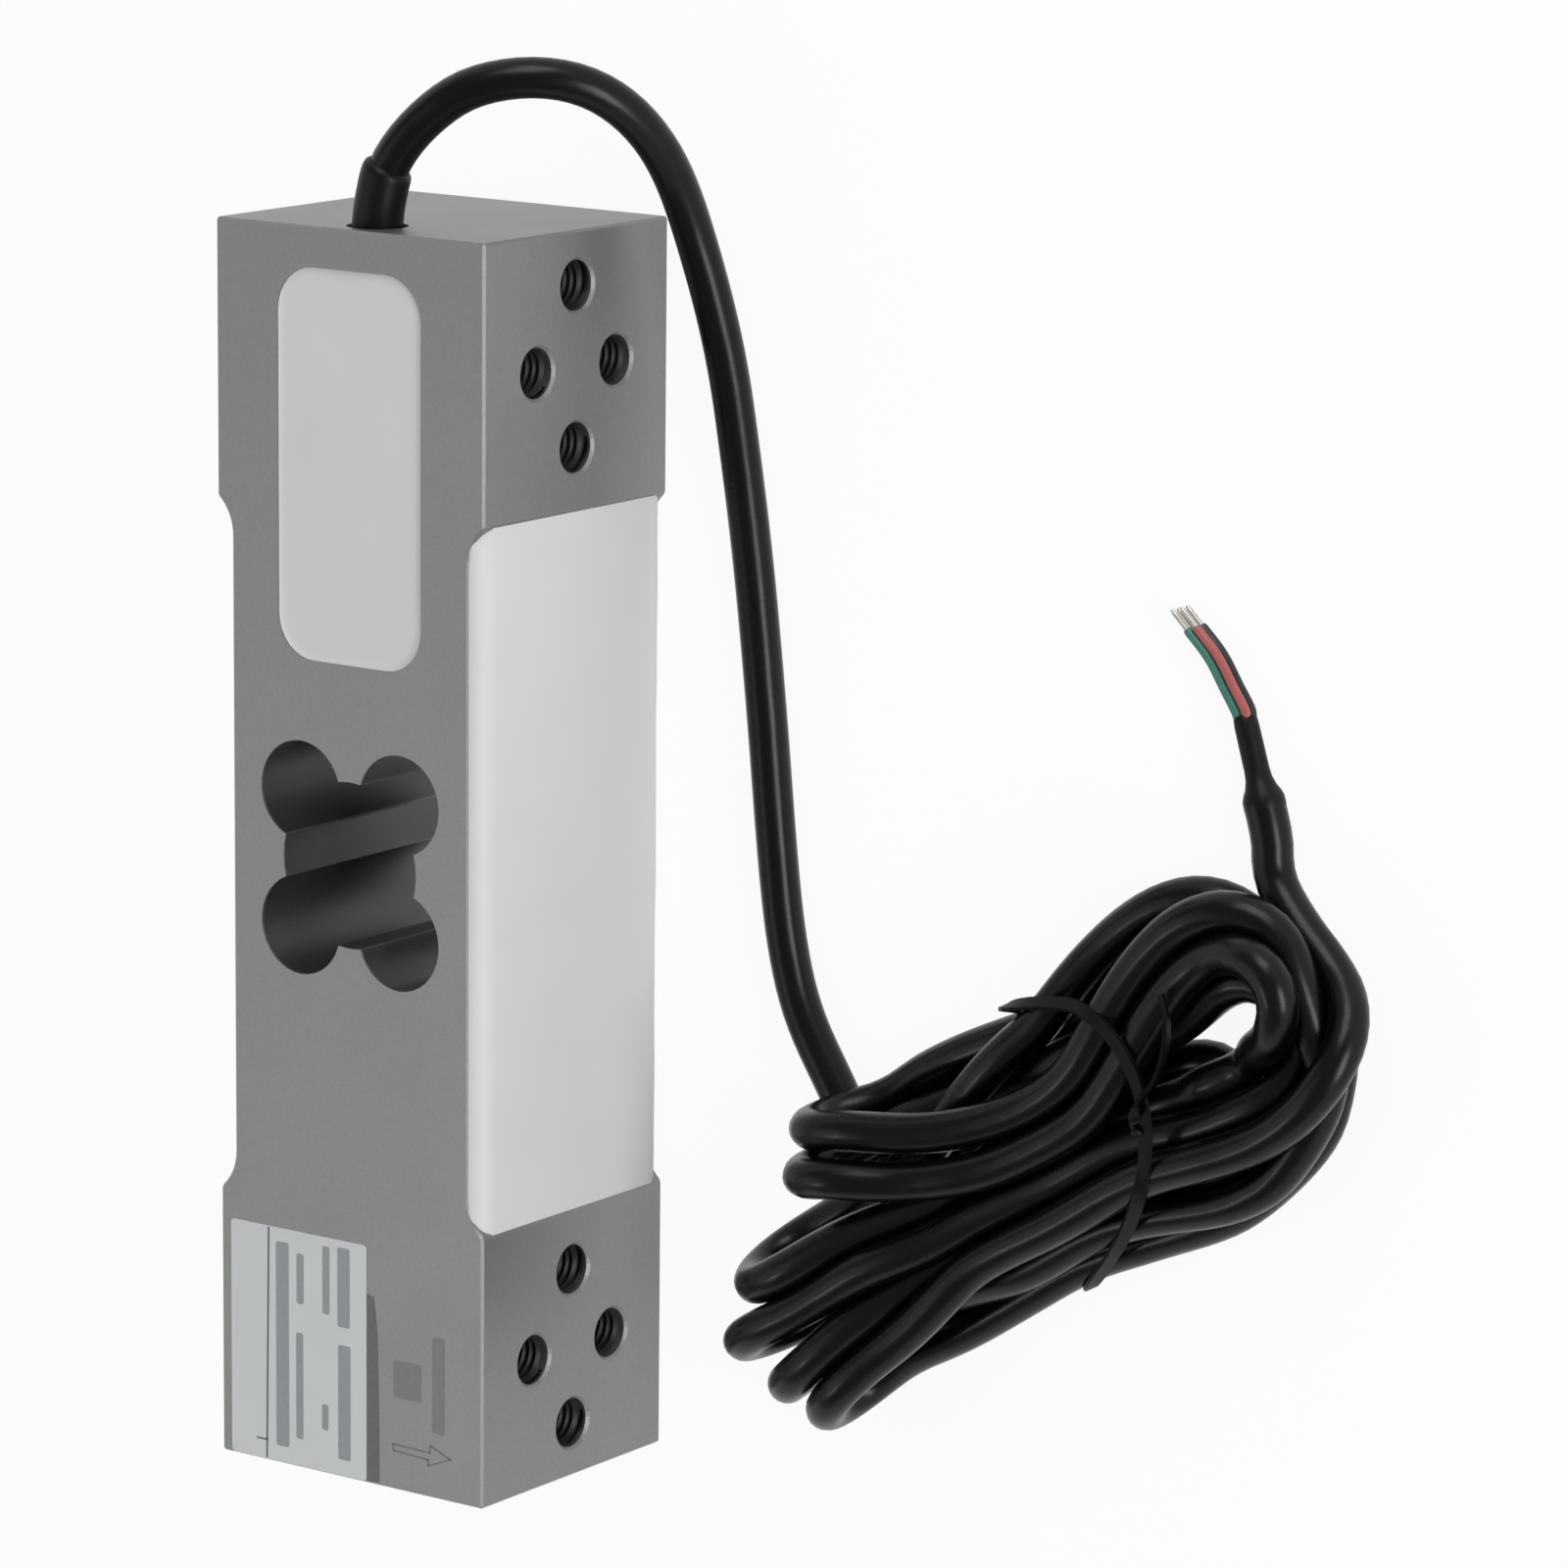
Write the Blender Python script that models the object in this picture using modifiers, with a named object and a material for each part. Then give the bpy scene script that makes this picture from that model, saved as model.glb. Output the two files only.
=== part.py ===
"""Single point load cell with its cable wound into a tied hank.

Units are metres and +Z is up. The cell lies on one of its plain side faces: X runs along it, towards
the cable end, Y runs between its two loading faces and Z between its two side faces. The origin is
the centre of the side face that it lies on. The side face with the cut-out and the wiring pocket is up.
"""
import math

import bmesh
import bpy
from mathutils import Matrix, Vector

# Spring element
BODY_LENGTH = 0.150
BODY_WIDTH = 0.040
BODY_THICKNESS = 0.035
BODY_CHAMFER = 0.0003
END_BLOCK_LENGTH = 0.033
RECESS_DEPTH = 0.0022
RECESS_CUTTER_RADIUS = 0.006

# Binocular cut-out through the side faces
CUTOUT_CENTRE_RADIUS = 0.010
LOBE_RADIUS = 0.006
LOBE_SPACING_X = 0.0162
LOBE_SPACING_Y = 0.0148

# Tapped holes, four on each end of each loading face
THREAD_DIAMETER = 0.006
COUNTERSINK = 0.00035
HOLE_SPACING_X = 0.019
HOLE_SPACING_Z = 0.015
HOLES_FROM_END = 0.016
HOLE_END_WALL = 0.0006
FREE_END_HOLE_DEPTH = 0.015
DRILL_POINT_HALF_ANGLE = math.radians(59)

# Wiring pocket in the upper side face, and the cable's bore into it
POCKET_LENGTH = 0.0464
POCKET_WIDTH = 0.0214
POCKET_DEPTH = 0.011
POCKET_CORNER_RADIUS = 0.00525
POCKET_END_WALL = 0.0048
BORE_CLEARANCE = 0.0006
BORE_FROM_TOP = 0.0054

# Shallow gauge pockets in the recess floors, and the holes that lead their wires to the wiring pocket
GAUGE_POCKET_FROM_RECESS_END = 0.006
GAUGE_POCKET_DEPTH = 0.0013
GAUGE_POCKET_RIM = 0.0016
GAUGE_POCKET_CORNER_RADIUS = 0.003
WIRE_HOLE_DIAMETER = 0.003
WIRE_HOLE_FROM_TOP = 0.0065

# Seals, gauges and the parts in the wiring pocket
FIT_GAP = 0.0003
SEAL_SKIN = 0.0003
SEAL_PLUG_THICKNESS = 0.0005
POCKET_SEAL_THICKNESS = 0.0022
POCKET_SEAL_SINK = 0.0004
GAUGE_LENGTH = 0.009
GAUGE_WIDTH = 0.0065
GAUGE_THICKNESS = 0.00025
GAUGE_GRID_LENGTH = 0.005
GAUGE_GRID_WIDTH = 0.0036
GAUGE_TAB_LENGTH = 0.0018
GAUGE_TAB_WIDTH = 0.0015
GAUGE_TAB_SPACING = 0.0024
GAUGE_MARGIN = 0.0006
GAUGE_RELIEF = 0.00012
GAUGE_BACKING_CORNER_RADIUS = 0.0005
GAUGE_WIRE_DIAMETER = 0.0004
GAUGE_WIRE_RUN_ON = 0.013
GAUGE_WIRE_CLEARANCE = 0.00045
BOARD_LENGTH = 0.036
BOARD_WIDTH = 0.0175
BOARD_THICKNESS = 0.001
BOARD_CORNER_RADIUS = 0.0015
BOARD_FROM_POCKET_END = 0.0027
RESISTOR_FROM_BOARD_END = 0.005
RESISTOR_LENGTH = 0.005
RESISTOR_WIDTH = 0.0024
RESISTOR_THICKNESS = 0.0009
RESISTOR_SPACING = 0.0048

# Rating label on the upper side face
LABEL_LENGTH = 0.0291
LABEL_WIDTH = 0.0209
LABEL_THICKNESS = 0.00015
LABEL_CORNER_RADIUS = 0.0004
LABEL_FROM_END = 0.0002
LABEL_FROM_SIDE = 0.0016

# Cable, its exit sleeve and its stripped end
CABLE_DIAMETER = 0.0048
JACKET_INSIDE = 0.011
SLEEVE_WALL = 0.00035
SLEEVE_INSIDE = 0.0040
SLEEVE_LENGTH = 0.0116
CORE_DIAMETER = 0.0011
INNER_CORE_RUN = 0.015
END_SLEEVE_DIAMETER = 0.0029
END_SLEEVE_EDGE = 0.0002
END_SLEEVE_SHOULDER = 0.0012
END_SLEEVE_NECK = 0.0042
CONDUCTOR_DIAMETER = 0.0006
CONDUCTOR_LENGTH = 0.003
CORE_LANDING_PITCH = 0.0018

# The lead's centreline, from just outside the end face, round and down to the table, to the hank
LEAD_ROUTE = (
    (0.0787, -0.0006, 0.0296),
    (0.0822, -0.0017, 0.0294),
    (0.0872, -0.0056, 0.0286),
    (0.0914, -0.0114, 0.0270),
    (0.0929, -0.0178, 0.0239),
    (0.0918, -0.0231, 0.0194),
    (0.0873, -0.0263, 0.0140),
    (0.0813, -0.0273, 0.0091),
    (0.0740, -0.0278, 0.0055),
    (0.0646, -0.0294, 0.0032),
    (0.0554, -0.0312, 0.0024),
    (0.0371, -0.0343, 0.0024),
    (0.0187, -0.0366, 0.0024),
    (0.0001, -0.0386, 0.0024),
    (-0.0092, -0.0400, 0.0024),
    (-0.0183, -0.0427, 0.0024),
    (-0.0227, -0.0455, 0.0024),
    (-0.0273, -0.0493, 0.0024),
)

# The hank's outline on the table, one end a round eye and the other a fan of folds
HANK_HEIGHT = 0.013
HANK_OUTLINE = (
    (0.0065, -0.0990),
    (0.0010, -0.0870),
    (-0.0095, -0.0775),
    (-0.0180, -0.0660),
    (-0.0265, -0.0520),
    (-0.0330, -0.0415),
    (-0.0450, -0.0350),
    (-0.0580, -0.0325),
    (-0.0670, -0.0410),
    (-0.0635, -0.0540),
    (-0.0520, -0.0690),
    (-0.0415, -0.0860),
    (-0.0365, -0.0980),
    (-0.0290, -0.1100),
    (-0.0160, -0.1190),
    (-0.0030, -0.1170),
    (0.0045, -0.1090),
)
HANK_OUTLINE_STEPS = 5

# The tie round the hank's waist
TIE_CENTRE = (-0.0232, -0.0849)
TIE_ANGLE = math.radians(-60.3)
TIE_HALF_WIDTH = 0.0146
TIE_THICKNESS = 0.0010
TIE_BREADTH = 0.0020
TIE_LIFT = 0.0001
TIE_CORNER_RADIUS = 0.0042
GROOVE_REACH = 0.006

# The tail, from the hank's round eye to the end sleeve, and the cores out of it
TAIL_ROUTE = (
    (0.0071, -0.1071, 0.0024),
    (0.0100, -0.1070, 0.0024),
    (0.0130, -0.1065, 0.0024),
    (0.0159, -0.1056, 0.0024),
)
END_SLEEVE_START = (0.0164, -0.1054, 0.0024)
END_SLEEVE_END = (0.0253, -0.1022, 0.0015)
CORE_ROUTE = (
    (0.0256, -0.1021, 0.0014),
    (0.0283, -0.1003, 0.0013),
    (0.0316, -0.0981, 0.0013),
    (0.0345, -0.0952, 0.0013),
)

# Colours and finishes
ALUMINIUM = ((0.40, 0.41, 0.41), 0.42, 1.0)
SILICONE = ((0.74, 0.74, 0.72), 0.55, 0.0)
POLYIMIDE = ((0.55, 0.32, 0.08), 0.45, 0.0)
BOARD_GREEN = ((0.02, 0.16, 0.07), 0.45, 0.0)
RESISTOR_BLACK = ((0.03, 0.03, 0.03), 0.5, 0.0)
WIRE_ENAMEL = ((0.45, 0.25, 0.06), 0.4, 0.0)
LABEL_FILM = ((0.52, 0.56, 0.60), 0.35, 0.0)
CABLE_BLACK = ((0.012, 0.012, 0.013), 0.32, 0.0)
SLEEVE_BLACK = ((0.010, 0.010, 0.011), 0.45, 0.0)
TINNED_COPPER = ((0.62, 0.60, 0.57), 0.35, 1.0)
CORE_COLOURS = {
    "red": (0.55, 0.10, 0.09),
    "black": (0.02, 0.02, 0.02),
    "green": (0.02, 0.20, 0.13),
    "white": (0.75, 0.78, 0.77),
}

BODY_TOP = BODY_THICKNESS
HALF_LENGTH = BODY_LENGTH / 2
HALF_WIDTH = BODY_WIDTH / 2
RECESS_FLOOR = HALF_WIDTH - RECESS_DEPTH
RECESS_END = HALF_LENGTH - END_BLOCK_LENGTH
GAUGE_FLOOR = RECESS_FLOOR - GAUGE_POCKET_DEPTH
GAUGE_POCKET_LENGTH = 2 * (RECESS_END - GAUGE_POCKET_FROM_RECESS_END)
POCKET_CENTRE_X = HALF_LENGTH - POCKET_END_WALL - POCKET_LENGTH / 2
POCKET_FREE_END = POCKET_CENTRE_X - POCKET_LENGTH / 2
POCKET_FLOOR = BODY_TOP - POCKET_DEPTH
BORE_HEIGHT = BODY_TOP - BORE_FROM_TOP
WIRE_HOLE_HEIGHT = BODY_TOP - WIRE_HOLE_FROM_TOP
SLEEVE_DIAMETER = CABLE_DIAMETER + 2 * (FIT_GAP + SLEEVE_WALL)
BORE_DIAMETER = SLEEVE_DIAMETER + 2 * BORE_CLEARANCE
THREAD_MOUTH_DIAMETER = THREAD_DIAMETER + 2 * COUNTERSINK
DRILL_POINT_LENGTH = THREAD_DIAMETER / 2 / math.tan(DRILL_POINT_HALF_ANGLE)
CORE_PITCH = CORE_DIAMETER + FIT_GAP
ROUTE_SPACING = 2 * CABLE_DIAMETER
CORE_SPACING = 3 * CORE_DIAMETER
CUT_MARGIN = 0.001

# The holes at the cable end stop short of the wiring pocket that stands between them
CABLE_END_HOLE_DEPTH = HALF_WIDTH - POCKET_WIDTH / 2 - HOLE_END_WALL - DRILL_POINT_LENGTH

# The wire holes are midway along the stretch where the wiring pocket and a gauge pocket face each other
FACING_START = POCKET_FREE_END + POCKET_CORNER_RADIUS
FACING_END = GAUGE_POCKET_LENGTH / 2 - GAUGE_POCKET_CORNER_RADIUS
WIRE_HOLE_X = (FACING_START + FACING_END) / 2

# How many flats the round shapes have
CORNER_STEPS = 6
POCKET_CORNER_STEPS = 8
SMALL_CORNER_STEPS = 2
RECESS_ARC_STEPS = 8
LOBE_ARC_STEPS = 22
CENTRE_ARC_STEPS = 4
HOLE_SEGMENTS = 28
WIRE_HOLE_SEGMENTS = 16


def clear_scene():
    for item in list(bpy.data.objects):
        bpy.data.objects.remove(item, do_unlink=True)


def new_collection(name):
    collection = bpy.data.collections.new(name)
    bpy.context.scene.collection.children.link(collection)
    return collection


def new_material(name, colour, roughness, metallic):
    material = bpy.data.materials.new(name)
    material.use_nodes = True
    shader = material.node_tree.nodes["Principled BSDF"]
    shader.inputs["Base Color"].default_value = (*colour, 1.0)
    shader.inputs["Roughness"].default_value = roughness
    shader.inputs["Metallic"].default_value = metallic
    material.diffuse_color = (*colour, 1.0)
    return material


def add_object(name, data, collection, finish=None):
    item = bpy.data.objects.new(name, data)
    collection.objects.link(item)
    if finish:
        data.materials.append(new_material(name, *finish))
    return item


def shade_round(item, angle=math.radians(35)):
    item.data.shade_smooth()
    item.data.set_sharp_from_angle(angle=angle)


def arc(centre, radius, start, end, steps):
    """Points of an arc, both ends included."""
    points = []
    for step in range(steps + 1):
        angle = start + (end - start) * step / steps
        points.append((centre[0] + radius * math.cos(angle), centre[1] + radius * math.sin(angle)))
    return points


def rounded_rectangle(length, width, radius, centre=(0.0, 0.0), steps=CORNER_STEPS):
    reach_x = length / 2 - radius
    reach_y = width / 2 - radius
    corners = ((1, 1), (-1, 1), (-1, -1), (1, -1))
    points = []
    for index, (side_x, side_y) in enumerate(corners):
        middle = (centre[0] + side_x * reach_x, centre[1] + side_y * reach_y)
        start = index * math.pi / 2
        points += arc(middle, radius, start, start + math.pi / 2, steps)
    return points


def mesh_from_curve(name, curve):
    """The closed mesh of a curve's tube or filled outline."""
    guide = bpy.data.objects.new(name + "_guide", curve)
    bpy.context.scene.collection.objects.link(guide)
    graph = bpy.context.evaluated_depsgraph_get()
    mesh = bpy.data.meshes.new_from_object(guide.evaluated_get(graph))
    mesh.name = name
    bpy.data.objects.remove(guide, do_unlink=True)
    bpy.data.curves.remove(curve)
    shape = bmesh.new()
    shape.from_mesh(mesh)
    bmesh.ops.remove_doubles(shape, verts=shape.verts, dist=0.000001)
    bmesh.ops.recalc_face_normals(shape, faces=shape.faces)
    shape.to_mesh(mesh)
    shape.free()
    mesh.materials.clear()
    return mesh


def outline_mesh(name, loops, low, high):
    """A flat outline, with any further loops as its holes, thick from low to high along Z."""
    curve = bpy.data.curves.new(name + "_outline", "CURVE")
    curve.dimensions = "2D"
    curve.fill_mode = "BOTH"
    curve.extrude = (high - low) / 2
    for loop in loops:
        spline = curve.splines.new("POLY")
        spline.points.add(len(loop) - 1)
        for point, (x, y) in zip(spline.points, loop):
            point.co = (x, y, 0.0, 1.0)
        spline.use_cyclic_u = True
    mesh = mesh_from_curve(name, curve)
    mesh.transform(Matrix.Translation((0.0, 0.0, (low + high) / 2)))
    return mesh


def box_mesh(name, size, centre):
    mesh = bpy.data.meshes.new(name)
    shape = bmesh.new()
    bmesh.ops.create_cube(shape, size=1.0)
    bmesh.ops.scale(shape, vec=size, verts=shape.verts)
    bmesh.ops.translate(shape, vec=centre, verts=shape.verts)
    shape.to_mesh(mesh)
    shape.free()
    return mesh


def cylinder_mesh(name, diameter, start, end, segments=32):
    """A cylinder between two points."""
    start = Vector(start)
    axis = Vector(end) - start
    mesh = bpy.data.meshes.new(name)
    shape = bmesh.new()
    bmesh.ops.create_cone(
        shape, cap_ends=True, segments=segments, radius1=diameter / 2, radius2=diameter / 2, depth=axis.length
    )
    turn = axis.to_track_quat("Z", "Y").to_matrix().to_4x4()
    bmesh.ops.transform(shape, matrix=Matrix.Translation(start + axis / 2) @ turn, verts=shape.verts)
    shape.to_mesh(mesh)
    shape.free()
    return mesh


def turned_mesh(name, profile, segments):
    """A solid of revolution about Z. The profile is (radius, height), from the top down."""
    mesh = bpy.data.meshes.new(name + "_profile")
    edges = [(index, index + 1) for index in range(len(profile) - 1)]
    mesh.from_pydata([(radius, 0.0, height) for radius, height in profile], edges, [])
    guide = bpy.data.objects.new(name + "_guide", mesh)
    bpy.context.scene.collection.objects.link(guide)
    screw = guide.modifiers.new("turn", "SCREW")
    screw.axis = "Z"
    screw.steps = segments
    screw.render_steps = segments
    screw.use_merge_vertices = True
    screw.merge_threshold = 0.00001
    graph = bpy.context.evaluated_depsgraph_get()
    turned = bpy.data.meshes.new_from_object(guide.evaluated_get(graph))
    turned.name = name
    bpy.data.objects.remove(guide, do_unlink=True)
    bpy.data.meshes.remove(mesh)
    shape = bmesh.new()
    shape.from_mesh(turned)
    bmesh.ops.remove_doubles(shape, verts=shape.verts, dist=0.000001)
    bmesh.ops.recalc_face_normals(shape, faces=shape.faces)
    shape.to_mesh(turned)
    shape.free()
    return turned


def smooth_route(points, spacing):
    """Points at an even spacing along a smooth curve through the given ones."""
    knots = [Vector(point) for point in points]
    knots.insert(0, 2 * knots[0] - knots[1])
    knots.append(2 * knots[-1] - knots[-2])
    fine = []
    for index in range(1, len(knots) - 2):
        before, start, end, after = knots[index - 1:index + 3]
        for step in range(16):
            t = step / 16
            fine.append(
                0.5 * (
                    2 * start + (end - before) * t
                    + (2 * before - 5 * start + 4 * end - after) * t ** 2
                    + (3 * start - before - 3 * end + after) * t ** 3
                )
            )
    fine.append(knots[-2])
    lengths = [0.0]
    for first, second in zip(fine, fine[1:]):
        lengths.append(lengths[-1] + (second - first).length)
    count = max(2, round(lengths[-1] / spacing))
    route = []
    place = 0
    for step in range(count + 1):
        goal = lengths[-1] * step / count
        while place < len(fine) - 2 and lengths[place + 1] < goal:
            place += 1
        share = (goal - lengths[place]) / (lengths[place + 1] - lengths[place])
        route.append(fine[place].lerp(fine[place + 1], share))
    return route


def tube_curve(name, route, diameter, resolution=2):
    curve = bpy.data.curves.new(name, "CURVE")
    curve.dimensions = "3D"
    curve.bevel_depth = diameter / 2
    curve.bevel_resolution = resolution
    curve.use_fill_caps = True
    spline = curve.splines.new("POLY")
    spline.points.add(len(route) - 1)
    for point, place in zip(spline.points, route):
        point.co = (*place, 1.0)
    return curve


def combine(item, mesh, cutters, operation):
    """Takes a mesh's shape out of an object, or joins it on."""
    tool = add_object(mesh.name, mesh, cutters)
    tool.hide_render = True
    tool.display_type = "WIRE"
    modifier = item.modifiers.new(tool.name, "BOOLEAN")
    modifier.operation = operation
    modifier.object = tool


def cut(item, mesh, cutters):
    combine(item, mesh, cutters, "DIFFERENCE")


def join(item, mesh, cutters):
    combine(item, mesh, cutters, "UNION")


def recess_path(lift):
    """Half of a loading face's recess, from its middle to the end block, lifted off the metal.

    The points are (x, y) on the +Y side. The recess ends in the arc that its cutter leaves."""
    radius = RECESS_CUTTER_RADIUS - lift
    sweep = math.acos((RECESS_CUTTER_RADIUS - RECESS_DEPTH) / RECESS_CUTTER_RADIUS)
    arc_centre = (RECESS_END - RECESS_CUTTER_RADIUS * math.sin(sweep), RECESS_FLOOR + RECESS_CUTTER_RADIUS)
    return arc(arc_centre, radius, -math.pi / 2, -math.pi / 2 + sweep, RECESS_ARC_STEPS)


def mirrored(points, side_x, side_y):
    return [(side_x * x, side_y * y) for x, y in points]


def body_outline():
    ends = recess_path(0.0)
    loop = [(HALF_LENGTH, -HALF_WIDTH), (HALF_LENGTH, HALF_WIDTH)]
    loop += reversed(ends)
    loop += mirrored(ends, -1, 1)
    loop += [(-HALF_LENGTH, HALF_WIDTH), (-HALF_LENGTH, -HALF_WIDTH)]
    loop += reversed(mirrored(ends, -1, -1))
    loop += mirrored(ends, 1, -1)
    return loop


def cutout_outline():
    """The outline of a round hole and four lobes round it, all run together."""
    offset_x = LOBE_SPACING_X / 2
    offset_y = LOBE_SPACING_Y / 2
    reach = math.hypot(offset_x, offset_y)
    heading = math.atan2(offset_y, offset_x)
    between = math.acos(
        (CUTOUT_CENTRE_RADIUS ** 2 + reach ** 2 - LOBE_RADIUS ** 2) / (2 * CUTOUT_CENTRE_RADIUS * reach)
    )
    inside = math.acos(
        (LOBE_RADIUS ** 2 + reach ** 2 - CUTOUT_CENTRE_RADIUS ** 2) / (2 * LOBE_RADIUS * reach)
    )
    headings = (heading, math.pi - heading, math.pi + heading, 2 * math.pi - heading)
    loop = []
    for index, angle in enumerate(headings):
        following = headings[(index + 1) % 4] + (2 * math.pi if index == 3 else 0.0)
        lobe_centre = (reach * math.cos(angle), reach * math.sin(angle))
        lobe_start = angle - math.pi + inside
        lobe_end = angle + math.pi - inside
        loop += arc(lobe_centre, LOBE_RADIUS, lobe_start, lobe_end, LOBE_ARC_STEPS)
        centre_arc = arc(
            (0.0, 0.0), CUTOUT_CENTRE_RADIUS, angle + between, following - between, CENTRE_ARC_STEPS
        )
        loop += centre_arc[1:-1]
    return loop


def chamfer_outside(mesh):
    """A light chamfer on the bar's outside edges, with the cut-out's own edges left crisp."""
    shape = bmesh.new()
    shape.from_mesh(mesh)
    inner_reach_x = LOBE_SPACING_X / 2 + LOBE_RADIUS
    inner_reach_y = LOBE_SPACING_Y / 2 + LOBE_RADIUS
    edges = []
    for edge in shape.edges:
        outside = all(
            abs(vert.co.x) > inner_reach_x + CUT_MARGIN or abs(vert.co.y) > inner_reach_y + CUT_MARGIN
            for vert in edge.verts
        )
        if outside and len(edge.link_faces) == 2 and edge.calc_face_angle() > math.radians(30):
            edges.append(edge)
    bmesh.ops.bevel(shape, geom=edges, offset=BODY_CHAMFER, segments=1, affect="EDGES")
    shape.to_mesh(mesh)
    shape.free()


def tapped_hole_cutter(name, depth):
    """A tapped hole's shape: countersunk mouth, bore at the thread's root and drill point."""
    radius = THREAD_DIAMETER / 2
    profile = (
        (0.0, CUT_MARGIN),
        (THREAD_MOUTH_DIAMETER / 2 + CUT_MARGIN, CUT_MARGIN),
        (radius, -COUNTERSINK),
        (radius, -depth),
        (0.0, -depth - DRILL_POINT_LENGTH),
    )
    return turned_mesh(name, profile, HOLE_SEGMENTS)


def tapped_holes(body, cutters):
    ends = ((1, "cable_end", CABLE_END_HOLE_DEPTH), (-1, "free_end", FREE_END_HOLE_DEPTH))
    for end, end_name, depth in ends:
        centre_x = end * (HALF_LENGTH - HOLES_FROM_END)
        centre_z = BODY_THICKNESS / 2
        places = (
            (centre_x + HOLE_SPACING_X / 2, centre_z),
            (centre_x - HOLE_SPACING_X / 2, centre_z),
            (centre_x, centre_z + HOLE_SPACING_Z / 2),
            (centre_x, centre_z - HOLE_SPACING_Z / 2),
        )
        for side, face_name in ((1, "rear"), (-1, "front")):
            for index, (x, z) in enumerate(places):
                mesh = tapped_hole_cutter(f"tapped_hole_{end_name}_{face_name}_{index + 1}", depth)
                face_out = Matrix.Rotation(-side * math.pi / 2, 4, "X")
                mesh.transform(Matrix.Translation((x, side * HALF_WIDTH, z)) @ face_out)
                cut(body, mesh, cutters)


def spring_element(parts, cutters):
    mesh = outline_mesh("spring_element", [body_outline(), cutout_outline()], 0.0, BODY_TOP)
    chamfer_outside(mesh)
    body = add_object("spring_element", mesh, parts, ALUMINIUM)
    pocket_loop = rounded_rectangle(
        POCKET_LENGTH, POCKET_WIDTH, POCKET_CORNER_RADIUS, (POCKET_CENTRE_X, 0.0), POCKET_CORNER_STEPS
    )
    cut(body, outline_mesh("wiring_pocket", [pocket_loop], POCKET_FLOOR, BODY_TOP + CUT_MARGIN), cutters)
    bore_start = (HALF_LENGTH - POCKET_END_WALL - CUT_MARGIN, 0.0, BORE_HEIGHT)
    bore_end = (HALF_LENGTH + CUT_MARGIN, 0.0, BORE_HEIGHT)
    cut(body, cylinder_mesh("cable_bore", BORE_DIAMETER, bore_start, bore_end), cutters)
    for side, label in ((-1, "front"), (1, "rear")):
        loop = rounded_rectangle(
            GAUGE_POCKET_LENGTH, BODY_THICKNESS - 2 * GAUGE_POCKET_RIM, GAUGE_POCKET_CORNER_RADIUS
        )
        mesh = outline_mesh("gauge_pocket_" + label, [loop], GAUGE_FLOOR, HALF_WIDTH + CUT_MARGIN)
        mesh.transform(side_frame(side))
        cut(body, mesh, cutters)
        hole_start = (WIRE_HOLE_X, side * (POCKET_WIDTH / 2 - CUT_MARGIN), WIRE_HOLE_HEIGHT)
        hole_end = (WIRE_HOLE_X, side * (GAUGE_FLOOR + CUT_MARGIN / 2), WIRE_HOLE_HEIGHT)
        mesh = cylinder_mesh(
            "wire_hole_" + label, WIRE_HOLE_DIAMETER, hole_start, hole_end, WIRE_HOLE_SEGMENTS
        )
        cut(body, mesh, cutters)
    tapped_holes(body, cutters)
    shade_round(body)
    return body


def side_frame(side):
    """Turns a flat outline in XY, thick along Z, onto a loading face: its Z becomes the way out."""
    turn = Matrix.Rotation(-side * math.pi / 2, 4, "X")
    return Matrix.Translation((0.0, 0.0, BODY_THICKNESS / 2)) @ turn


def gauge_seal(label, side, parts):
    """Silicone that fills a gauge pocket and skins over its rims and the recess's end arcs."""
    under = recess_path(FIT_GAP)
    over = recess_path(FIT_GAP + SEAL_SKIN)
    plug_reach = GAUGE_POCKET_LENGTH / 2 - FIT_GAP
    plug_low = RECESS_FLOOR + FIT_GAP - SEAL_PLUG_THICKNESS
    skin = mirrored(reversed(over), 1, side)
    skin += mirrored(over, -1, side)
    skin += mirrored(reversed(under), -1, side)
    skin += mirrored(under, 1, side)
    mesh = outline_mesh("gauge_seal_" + label, [skin], 0.0, BODY_TOP)
    seal = add_object("gauge_seal_" + label, mesh, parts, SILICONE)
    plug_loop = rounded_rectangle(
        2 * plug_reach,
        BODY_THICKNESS - 2 * (GAUGE_POCKET_RIM + FIT_GAP),
        GAUGE_POCKET_CORNER_RADIUS - FIT_GAP,
    )
    plug = outline_mesh("seal_plug_" + label, [plug_loop], plug_low, RECESS_FLOOR + FIT_GAP + SEAL_SKIN / 2)
    plug.transform(side_frame(side))
    return seal, plug


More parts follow.
